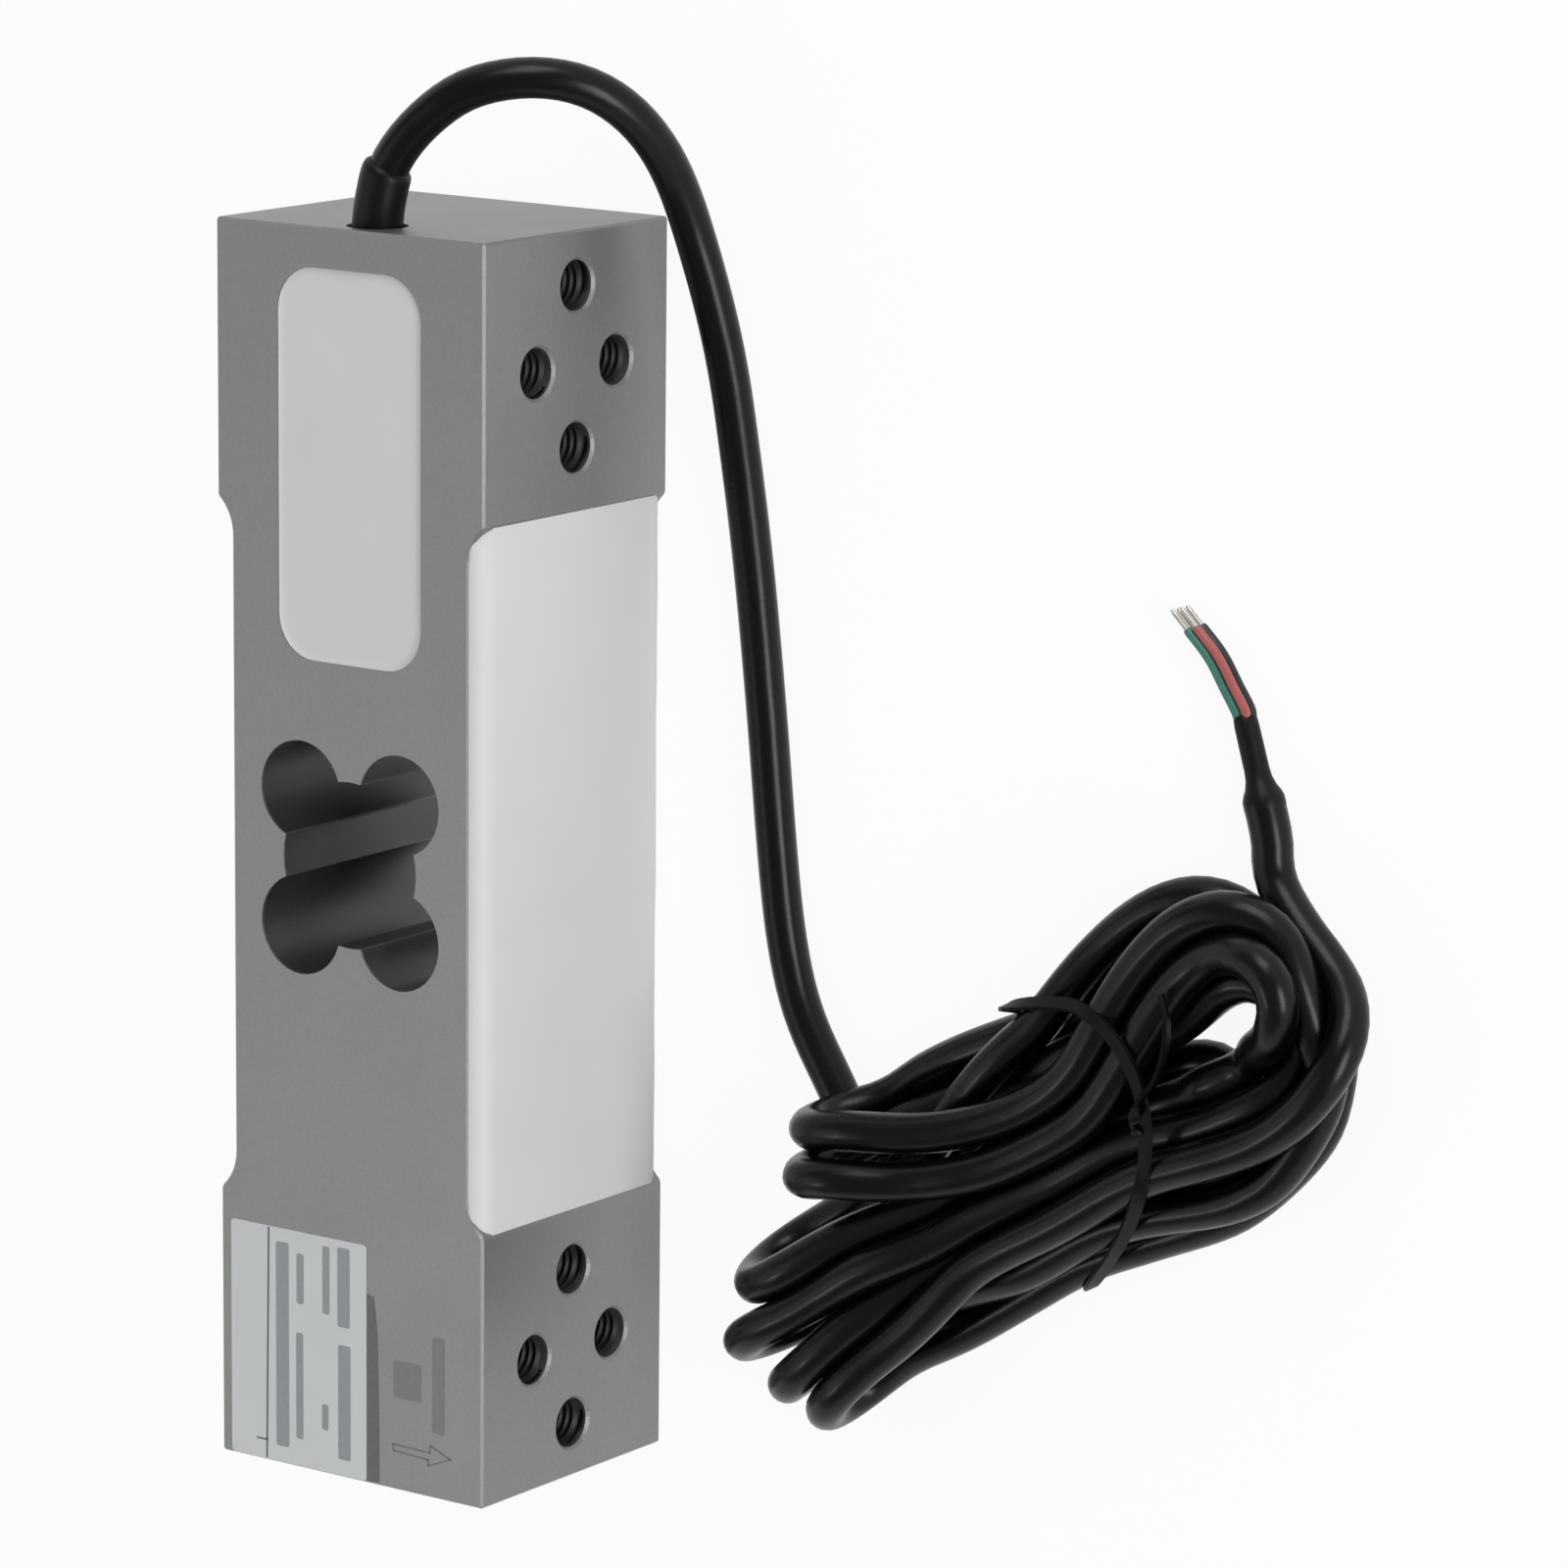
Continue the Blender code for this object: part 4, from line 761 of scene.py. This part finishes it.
def pocket_seal_mesh(low, high, top, depth):
    """Silicone levelled in its pocket: flat, with a thin rise where it wets the walls."""
    # Each ring's inset from the wall and its height over the level surface, in metres.
    rings = ((0.0, -depth), (0.0, 0.00022), (0.00012, 0.00012), (0.0004, 0.00003), (0.0011, 0.0),
             (0.0028, 0.0), (0.0050, 0.0))
    verts, faces = [], []
    for inset, rise in rings:
        corner = max(POCKET_CORNER - inset, 0.4 * MM)
        inner_low, inner_high = (low[0] + inset, low[1] + inset), (high[0] - inset, high[1] - inset)
        for x, y in rounded_outline(inner_low, inner_high, corner, 8):
            verts.append((x, y, top + rise))
    join_rings(faces, 0, len(rings), len(verts) // len(rings))
    return mesh_of(verts, faces)


def thread_mesh(side, end, depth, crest, pitch):
    """The threads of one block's four holes on one face: a ridge of 60 degree flanks, wound right-handed."""
    steps = 32
    centre_x, centre_z = end * HOLE_CENTRE, BAR_THICKNESS / 2
    places = ((HOLE_HALF_SPACING_X, 0), (-HOLE_HALF_SPACING_X, 0), (0, HOLE_HALF_SPACING_Z),
              (0, -HOLE_HALF_SPACING_Z))
    verts, faces = [], []
    for number, (dx, dz) in enumerate(places):
        first = len(verts)
        count = int((depth - THREAD_START - pitch) / pitch * steps)
        for i in range(count + 1):
            angle = 2 * math.pi * i / steps + number
            down = THREAD_START + pitch * i / steps
            # The ridge grows in over half a turn at the mouth and dies out over a quarter at the bottom.
            grown = min(1.0, i / (0.5 * steps), (count - i) / (0.25 * steps))
            inner = THREAD_ROOT_RADIUS - (THREAD_ROOT_RADIUS - crest / 2) * grown
            for radius, along in ((THREAD_ROOT_RADIUS, 0.0), (inner, 0.40), (inner, 0.52),
                                  (THREAD_ROOT_RADIUS, 0.92)):
                y = side * (HALF_WIDTH - down - along * pitch)
                verts.append((centre_x + dx + radius * math.cos(angle), y,
                              centre_z + dz + side * radius * math.sin(angle)))
        join_rings(faces, first, count + 1, 4)
    return mesh_of(verts, faces)


def tie_lean(v, height):
    """How far towards the eye, in metres, the tie's loop stands at a place on it: its top leans that way."""
    v, height = v / MM, height / MM
    foot, slant, rise, bow = 1.7, 0.15, 0.9, 0.035
    drawn_back = 0.28 * np.maximum(v - 11.0, 0.0) ** 2 + 0.08 * np.maximum(-12.0 - v, 0.0) ** 2
    return (foot + slant * v + rise * height - bow * v ** 2 - drawn_back) * MM


def waist_loop(line, radius):
    """The tie's run round the strands that pass through its leaning loop: places, and the ways outward."""
    flat = line[:, :2] - np.array(WAIST)
    along, across, height = flat @ np.array(TOWARDS_EYE), flat @ np.array(ACROSS), line[:, 2]
    near = (np.abs(along - tie_lean(across, height)) < LOOP_REACH) & (np.abs(across) < LOOP_HALF_WIDTH)
    spots, sides = [], 24
    for v, z in zip(across[near], height[near]):
        for k in range(sides):
            a = 2 * math.pi * k / sides
            spots.append((v + radius * math.cos(a), z + radius * math.sin(a)))
    spots = sorted(set(spots))

    def half(points):
        """The lower half of the hull round the points, from the first to the last."""
        chain = []
        for p in points:
            while len(chain) > 1 and ((chain[-1][0] - chain[-2][0]) * (p[1] - chain[-2][1])
                                      - (chain[-1][1] - chain[-2][1]) * (p[0] - chain[-2][0])) <= 0:
                chain.pop()
            chain.append(p)
        return chain[:-1]

    hull = np.array(half(spots) + half(spots[::-1]))
    loop = even_steps(np.vstack([hull, hull[:1]]), LOOP_STEPS)[:-1]
    # The ribbon is stiff enough to round the corners off.
    for _ in range(3):
        loop = (np.roll(loop, 1, 0) + 2 * loop + np.roll(loop, -1, 0)) / 4
    out = np.roll(loop, 1, 0) - np.roll(loop, -1, 0)
    out = np.stack([-out[:, 1], out[:, 0]], 1)
    out *= np.sign((out * (loop - loop.mean(axis=0))).sum())
    out /= np.linalg.norm(out, axis=1)[:, None]
    places, outward = [], []
    for (v, z), (ov, oz) in zip(loop + out * LOOP_SLACK, out):
        places.append(hank_point(tie_lean(v, z) / MM, v / MM, max(z, 0.1 * MM) / MM))
        outward.append((ov * ACROSS[0], ov * ACROSS[1], oz))
    return np.array(places), np.array(outward)


def ribbon(verts, faces, places, outward, width, thickness, closed=False):
    """Adds a flat ribbon through the places to verts and faces, its flat side turned outward."""
    n = len(places)
    first = len(verts)
    for i in range(n):
        ahead = places[(i + 1) % n if closed else min(i + 1, n - 1)]
        behind = places[(i - 1) % n if closed else max(i - 1, 0)]
        tangent = (ahead - behind) / np.linalg.norm(ahead - behind)
        face = outward[i] - tangent * (outward[i] @ tangent)
        face /= np.linalg.norm(face)
        side = np.cross(tangent, face)
        for across, lift in RIBBON_SECTION:
            place = places[i] + side * across * width + face * lift * thickness
            # It never dips into the table.
            verts.append((place[0], place[1], max(place[2], 0.05 * MM)))
    join_rings(faces, first, n, len(RIBBON_SECTION), closed)


def cutout_wall_mesh():
    """The cut-out's bored wall: a thin skin round the middle bore and the four lobes, from face to face."""
    distance = math.hypot(CUTOUT_LOBE_X, CUTOUT_LOBE_Y)
    heading = math.atan2(CUTOUT_LOBE_Y, CUTOUT_LOBE_X)
    count = 480
    verts, faces = [], []
    for inset in (0.09 * MM, 0.03 * MM):
        for height in (0.02 * MM, BAR_THICKNESS - 0.35 * MM):
            for k in range(count):
                a = 2 * math.pi * k / count
                reach = CUTOUT_BORE_RADIUS
                for centre in (heading, math.pi - heading, math.pi + heading, -heading):
                    off = distance * math.sin(a - centre)
                    if math.cos(a - centre) > 0 and abs(off) < CUTOUT_LOBE_RADIUS:
                        lobe = math.sqrt(CUTOUT_LOBE_RADIUS ** 2 - off ** 2)
                        reach = max(reach, distance * math.cos(a - centre) + lobe)
                verts.append(((reach - inset) * math.cos(a), (reach - inset) * math.sin(a), height))
    for k in range(count):
        n = (k + 1) % count
        for one, other in ((0, 1), (2, 3), (0, 2), (1, 3)):
            one, other = one * count, other * count
            faces.append((one + k, one + n, other + n, other + k))
    return mesh_of(verts, faces)


def etched_line(verts, faces, points, height, width, closed=False):
    """Adds a thin flat line through the points, given in mm, of a face that looks up, with square corners."""
    points = [np.array(point) * MM for point in points]
    pairs = list(zip(points, points[1:] + points[:1]))
    for start, end in pairs if closed else pairs[:-1]:
        along = (end - start) / np.linalg.norm(end - start)
        side = np.array((-along[1], along[0])) * width / 2
        start, end = start - along * width / 2, end + along * width / 2
        first = len(verts)
        for z in (height, height + 0.01 * MM):
            for corner in (start - side, end - side, end + side, start + side):
                verts.append((corner[0], corner[1], z))
        join_rings(faces, first, 2, 4)


class LOADCELL_OT_stage(bpy.types.Operator):
    """Sets the camera, the lamps, the world and the white studio floor"""
    bl_idname = "loadcell.stage"
    bl_label = "Stage"

    def execute(self, context):
        scene = context.scene
        sizes = scene.loadcell_stage
        scene.view_settings.view_transform = "Standard"
        back = -Vector(CAMERA_FORWARD).normalized()
        right = Vector(CAMERA_RIGHT).normalized()
        up = back.cross(right).normalized()
        right = up.cross(back).normalized()
        camera = bpy.data.objects.new("camera", bpy.data.cameras.new("camera"))
        scene.collection.objects.link(camera)
        camera.data.lens = CAMERA_LENS
        camera.data.sensor_width = SENSOR_WIDTH
        camera.data.clip_start, camera.data.clip_end = CLIP_START, CLIP_END
        turn = Matrix((right, up, back)).transposed().to_4x4()
        turn.translation = CAMERA_PLACE
        camera.matrix_world = turn
        scene.camera = camera

        # The paper lies flat under the object and runs up all round, so that low views meet white as well.
        profile = [(sizes.floor_size, 0.0)]
        for step in range(1, 9):
            a = math.radians(90 * step / 8)
            profile.append((sizes.floor_size + PAPER_BEND * math.sin(a), PAPER_BEND * (1 - math.cos(a))))
        profile.append((sizes.floor_size + PAPER_BEND, sizes.wall_height))
        verts, faces = [], []
        for radius, height in profile:
            for k in range(PAPER_SIDES):
                a = 2 * math.pi * k / PAPER_SIDES
                verts.append((radius * math.cos(a), radius * math.sin(a), height - 0.05 * MM))
        for level in range(len(profile) - 1):
            for k in range(PAPER_SIDES):
                a, b = level * PAPER_SIDES + k, level * PAPER_SIDES + (k + 1) % PAPER_SIDES
                faces.append((a, a + PAPER_SIDES, b + PAPER_SIDES, b))
        faces.append(tuple(range(PAPER_SIDES)))
        mesh = bpy.data.meshes.new("studio_paper")
        mesh.from_pydata(verts, [], faces)
        mesh.shade_smooth()
        mesh.materials.append(seamless_paper())
        paper = bpy.data.objects.new("studio_paper", mesh)
        scene.collection.objects.link(paper)

        for name, place, target, width, height, power in LAMPS:
            data = bpy.data.lights.new(name, "AREA")
            data.shape = "RECTANGLE"
            data.size, data.size_y = width, height
            data.energy = power
            lamp = bpy.data.objects.new(name, data)
            scene.collection.objects.link(lamp)
            lamp.location = place
            lamp.rotation_euler = (Vector(target) - Vector(place)).to_track_quat("-Z", "Y").to_euler()

        world = bpy.data.worlds.new("studio_air")
        scene.world = world
        world.use_nodes = True
        world.node_tree.nodes.clear()
        air = add_node(world.node_tree, "ShaderNodeBackground",
                       {"Color": linear("#FFFFFF"), "Strength": AIR_STRENGTH})
        add_node(world.node_tree, "ShaderNodeOutputWorld", None, {"Surface": air.outputs["Background"]})
        return {"FINISHED"}


class LOADCELL_OT_cable(bpy.types.Operator):
    """Lays the cable from the bar's end face into the tied hank and out to its stripped end"""
    bl_idname = "loadcell.cable"
    bl_label = "Cable"

    def execute(self, context):
        diameter = context.scene.loadcell_cable.diameter
        line = settle(smooth_line(hank_knots(), diameter / 2), diameter)
        line = smooth_line(line, diameter / 3)
        curve = bpy.data.curves.new("cable", "CURVE")
        curve.dimensions = "3D"
        curve.bevel_depth = diameter / 2
        curve.bevel_resolution = 8
        curve.use_fill_caps = True
        spline = curve.splines.new("POLY")
        spline.points.add(len(line) - 1)
        spline.points.foreach_set("co", np.hstack([line, np.ones((len(line), 1))]).ravel())
        spline.use_smooth = True
        cable = new_piece("cable", curve, pvc_jacket(), smooth=False)
        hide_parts("cable_lead", "cable_hank", "cable_tail")
        return {"FINISHED"}


class LOADCELL_OT_sleeve(bpy.types.Operator):
    """Makes the shrunk sleeve on the cable where it comes out of the bar"""
    bl_idname = "loadcell.sleeve"
    bl_label = "Cable Sleeve"

    def execute(self, context):
        sizes = context.scene.loadcell_cable
        line = smooth_line(LEAD_ROUTE, SLEEVE_STEP)
        along = lengths_along(line)
        line = line[(along > SLEEVE_START) & (along < SLEEVE_END)]
        outer, jacket = sizes.sleeve_diameter / 2, sizes.diameter / 2
        radii = []
        for i in range(len(line)):
            left = (len(line) - 1 - i) * SLEEVE_STEP
            shrink = max(0.0, 1 - left / SLEEVE_RIM)
            rounding = 1 - math.sqrt(max(1 - shrink ** 2, 0.0))
            radii.append(outer - (outer - jacket) * rounding * SLEEVE_RIM_LOSS)
        tube = tube_along(line, radii, sides=32)
        sleeve = new_piece("cable_sleeve_shrunk", tube, heat_shrink())
        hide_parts("cable_sleeve")
        return {"FINISHED"}


class LOADCELL_OT_tie(bpy.types.Operator):
    """Wraps the flat tie round the hank's waist, with its loose tail"""
    bl_idname = "loadcell.tie"
    bl_label = "Tie"

    def execute(self, context):
        sizes = context.scene.loadcell_cable
        cable = bpy.data.objects.get("cable")
        if cable is None:
            raise RuntimeError("the cable comes before its tie")
        line = np.array([point.co[:3] for point in cable.data.splines[0].points])
        places, outward = waist_loop(line, sizes.diameter / 2)
        verts, faces = [], []
        ribbon(verts, faces, places, outward, sizes.tie_width, sizes.tie_thickness, closed=True)
        # The twisted ends stand on the loop where it crosses the top, and one runs on loose towards the eye.
        end = smooth_line([hank_point(*place) for place in TIE_END], TIE_END_STEP * MM)
        turns = np.minimum(np.arange(len(end)) * TIE_END_STEP / TIE_TWIST_LENGTH, 1.0) * TIE_TWIST
        upward = np.array((0.0, 0.0, 1.0))
        sideways = np.array((ACROSS[0], ACROSS[1], 0.0))
        facing = [upward * math.cos(a) + sideways * math.sin(a) for a in turns]
        # The twist draws the loose end narrower.
        ribbon(verts, faces, end, facing, sizes.tie_width * 0.8, sizes.tie_thickness)
        tie = new_piece("tie_ribbon", mesh_of(verts, faces), coated_tie())
        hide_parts("cable_tie")
        return {"FINISHED"}


class LOADCELL_OT_stripped_end(bpy.types.Operator):
    """Makes the cable's stripped end: the small sleeve, the four cores and their tinned strands"""
    bl_idname = "loadcell.stripped_end"
    bl_label = "Stripped End"

    def execute(self, context):
        sizes = context.scene.loadcell_cable
        jacket, core = sizes.diameter / 2, sizes.core_diameter / 2
        start, end = np.array(END_SLEEVE_START), np.array(END_SLEEVE_END)
        # The sleeve lies close on the jacket's end and then shrinks onto the cores.
        shares = (0.0, 0.03, 0.12, 0.18, 0.24, 0.33, 0.43, 0.52, 0.7, 0.9, 0.97, 1.0)
        radii = (jacket - 0.05 * MM, jacket + 0.03 * MM, jacket + 0.02 * MM, jacket - 0.2 * MM, 1.85 * MM,
                 1.55 * MM, 1.45 * MM, 1.45 * MM, 1.44 * MM, 1.42 * MM, 1.36 * MM, 1.2 * MM)
        line = [start + (end - start) * share for share in shares]
        tube = tube_along(line, radii, sides=28)
        sleeve = new_piece("end_sleeve_shrunk", tube, heat_shrink())
        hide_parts("end_sleeve")
        axis = (end - start) / np.linalg.norm(end - start)
        across = np.cross((0.0, 0.0, 1.0), axis)
        across /= np.linalg.norm(across)
        for name, (side, level, _, _) in CORES.items():
            shift = across * side * CORE_OFFSET + np.array((0.0, 0.0, level * CORE_OFFSET))
            # The cores lie a little closer together inside the sleeve.
            knots = [end - axis * CORE_INSIDE + shift * 0.9] + [np.array(k) + shift for k in CORE_ROUTE]
            route = smooth_line(knots, spacing=0.35 * MM)
            # The cut narrows the insulation a little.
            tube = tube_along(route, [core] * (len(route) - 1) + [core * 0.85], sides=16)
            piece = new_piece("core_" + name + "_insulation", tube, pvc_core(name))
            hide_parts("core_" + name)
            heading = route[-1] - route[-3]
            heading /= np.linalg.norm(heading)
            reaches = np.linspace(0, STRANDS_LENGTH, 8) - STRANDS_INSIDE
            tip = [route[-1] + heading * reach for reach in reaches]
            tube = tube_along(tip, [STRANDS_RADIUS] * 7 + [STRANDS_TIP_RADIUS], sides=12)
            strands = new_piece("conductor_" + name + "_strands", tube, tinned_copper())
            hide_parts("conductor_" + name)
        return {"FINISHED"}


class LOADCELL_OT_cord(bpy.types.Operator):
    bl_idname = "loadcell.cord"
    bl_label = "Declare Cord"

    def execute(self, context):
        names = ["cable_sleeve_shrunk", "tie_ribbon", "end_sleeve_shrunk"]
        for colour in CORES:
            names += ["core_" + colour + "_insulation", "conductor_" + colour + "_strands"]
        return {"FINISHED"}


class LOADCELL_OT_seals(bpy.types.Operator):
    """Pours the silicone over the gauges and over the wiring pocket"""
    bl_idname = "loadcell.seals"
    bl_label = "Seals"

    def execute(self, context):
        edge = context.scene.loadcell_bar.seal_edge
        # The front seal's white edge shows at the side faces, and the rear one's doesn't.
        for name, side, margin in (("front", -1, 0.07 * MM), ("rear", 1, 2.6 * MM)):
            mesh = gauge_seal_mesh(side, edge, margin)
            seal = new_piece("gauge_silicone_" + name, mesh, cured_silicone())
            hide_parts("gauge_seal_" + name)
        low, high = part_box("pocket_seal")
        # It fills the gap that the solid keeps to the pocket's walls.
        fit = 0.28 * MM
        mesh = pocket_seal_mesh((low.x - fit, low.y - fit), (high.x + fit, high.y + fit), high.z, depth=MM)
        seal = new_piece("pocket_silicone", mesh, cured_silicone())
        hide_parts("pocket_seal")
        return {"FINISHED"}


class LOADCELL_OT_label(bpy.types.Operator):
    """Lays the plain film label on the side face, with the marks beside it"""
    bl_idname = "loadcell.label"
    bl_label = "Label"

    def execute(self, context):
        thickness = context.scene.loadcell_bar.label_thickness
        low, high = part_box("rating_label")
        face = BAR_THICKNESS + FACE_LIFT
        film_outline = rounded_outline((low.x, low.y), (high.x, high.y), radius=0.5 * MM, steps=4)
        film = flat_patch(film_outline, face, thickness, edge=0.00003)
        label = new_piece("label_film", film, polyester_film())
        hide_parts("rating_label")
        printed = marking_ink("ink_printed_grey", "#5A5F63", "#6C7175")
        faded = marking_ink("ink_printed_pale", "#8E9295", "#9A9EA1")
        # A plain dark grey for the strip drawn along the label's edge.
        glue = marking_ink("dark_strip_grey", "#5C5D5E", "#6E6F70")
        etched = marking_ink("etched_oxide_dark", "#5E5F5E", "#727372")
        etched_pale = marking_ink("etched_oxide_pale", "#747675", "#828483")
        on_film = face + thickness + FILM_LIFT
        verts, faces = [], []
        etched_line(verts, faces, LABEL_RULE, on_film, width=0.28 * MM)
        etched_line(verts, faces, LABEL_TICK, on_film, width=0.22 * MM)
        new_piece("label_rules", mesh_of(verts, faces), printed, smooth=False)
        for number, corners in enumerate(LABEL_FIELDS, 1):
            mesh = mark_patch(corners, on_film, radius=0.3 * MM, steps=4, thickness=0.00001, edge=0.000004)
            new_piece("label_field_" + str(number), mesh, faded)
        # The dark grey strip along the label's edge, a thin patch on the side face.
        strip = flat_patch(np.array(DARK_STRIP) * MM, face, thickness=0.00005, edge=0.00002)
        new_piece("dark_strip", strip, glue)
        verts, faces = [], []
        etched_line(verts, faces, ARROW, face, width=0.16 * MM, closed=True)
        new_piece("etched_arrow", mesh_of(verts, faces), etched, smooth=False)
        for name, corners in (("etched_square", ETCHED_SQUARE), ("etched_band", ETCHED_BAND)):
            mesh = mark_patch(corners, face, radius=0.25 * MM, steps=3, thickness=0.00002, edge=0.00001)
            new_piece(name, mesh, etched_pale)
        return {"FINISHED"}


class LOADCELL_OT_threads(bpy.types.Operator):
    """Cuts the screw threads in the tapped holes of both loading faces"""
    bl_idname = "loadcell.threads"
    bl_label = "Threads"

    def execute(self, context):
        sizes = context.scene.loadcell_bar
        # The threads take the bar's finish at 0.09 of its colour: painted shade deep in the holes.
        tapped = anodised_aluminium("anodised_aluminium_tapped_painted_shade", 0.09)
        blocks = (("cable_end", 1, CABLE_END_HOLE_DEPTH), ("free_end", -1, FREE_END_HOLE_DEPTH))
        for face, side in (("front", -1), ("rear", 1)):
            for block, end, depth in blocks:
                mesh = thread_mesh(side, end, depth, sizes.thread_crest, sizes.thread_pitch)
                new_piece("threads_" + face + "_" + block, mesh, tapped)
        return {"FINISHED"}


class LOADCELL_OT_cutout(bpy.types.Operator):
    """Finishes the bored wall of the binocular cut-out"""
    bl_idname = "loadcell.cutout"
    bl_label = "Cut-out Wall"

    def execute(self, context):
        # The wall takes the bar's finish at 0.45 of its colour: painted shade inside the cut-out.
        bored = anodised_aluminium("anodised_aluminium_bored_painted_shade", 0.45)
        new_piece("cutout_wall", cutout_wall_mesh(), bored)
        return {"FINISHED"}


class LOADCELL_OT_finishes(bpy.types.Operator):
    """Gives the bar and the pieces inside it their finishes"""
    bl_idname = "loadcell.finishes"
    bl_label = "Finishes"

    def execute(self, context):
        gauge = inner_finish("polyimide_film_amber", "#A8701F", "#C98F34", 0.35, 0.8)
        board = inner_finish("glass_epoxy_green", "#14583A", "#1E6B48", 0.4, 0.5)
        resistor = inner_finish("epoxy_moulded_black", "#191A1B", "#232425", 0.5, 0.4)
        wire = inner_finish("enamelled_wire_amber", "#8A5A1E", "#A8722D", 0.3, 0.5)
        finishes = {"spring_element": anodised_aluminium(), "terminal_board": board}
        for name in ("zero_trim_resistor", "span_trim_resistor", "zero_drift_resistor"):
            finishes[name] = resistor
        for face in ("front", "rear"):
            finishes["gauge_wire_" + face] = wire
            for end in ("cable_end", "free_end"):
                finishes["strain_gauge_" + face + "_" + end] = gauge
        for colour in CORES:
            finishes["inner_core_" + colour] = pvc_core(colour)
        for name, material in finishes.items():
            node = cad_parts[name]
            if not node.material_slots:
                raise RuntimeError(name + " has no material slot")
            for place in node.material_slots:
                place.link = "OBJECT"
                place.material = material
        return {"FINISHED"}


OPERATORS = (
    LOADCELL_OT_stage, LOADCELL_OT_cable, LOADCELL_OT_sleeve, LOADCELL_OT_tie, LOADCELL_OT_stripped_end,
    LOADCELL_OT_cord, LOADCELL_OT_seals, LOADCELL_OT_label, LOADCELL_OT_threads, LOADCELL_OT_cutout,
    LOADCELL_OT_finishes,
)
GROUPS = {
    "loadcell_cable": LOADCELL_PG_cable, "loadcell_bar": LOADCELL_PG_bar,
    "loadcell_colours": LOADCELL_PG_colours, "loadcell_stage": LOADCELL_PG_stage,
}


class LOADCELL_PT_panel(bpy.types.Panel):
    """Lists the sizes and the steps that build the load cell"""
    bl_idname = "LOADCELL_PT_panel"
    bl_label = "Single Point Load Cell"
    bl_space_type = "VIEW_3D"
    bl_region_type = "UI"
    bl_category = "Load Cell"

    def draw(self, context):
        for group in GROUPS:
            sizes = getattr(context.scene, group)
            box = self.layout.box()
            for name in sizes.__annotations__:
                box.prop(sizes, name)
        for operator in OPERATORS:
            self.layout.operator(operator.bl_idname)


CLASSES = tuple(GROUPS.values()) + OPERATORS + (LOADCELL_PT_panel,)


def register():
    for item in CLASSES:
        bpy.utils.register_class(item)
    for name, group in GROUPS.items():
        setattr(bpy.types.Scene, name, PointerProperty(type=group))


def unregister():
    for name in GROUPS:
        delattr(bpy.types.Scene, name)
    for item in reversed(CLASSES):
        bpy.utils.unregister_class(item)


def main():
    register()
    bpy.ops.loadcell.stage()
    bpy.ops.loadcell.cable()
    bpy.ops.loadcell.sleeve()
    bpy.ops.loadcell.tie()
    bpy.ops.loadcell.stripped_end()
    bpy.ops.loadcell.cord()
    bpy.ops.loadcell.seals()
    bpy.ops.loadcell.label()
    bpy.ops.loadcell.threads()
    bpy.ops.loadcell.cutout()
    bpy.ops.loadcell.finishes()
    bpy.context.view_layer.update()


if __name__ == "__main__":
    main()
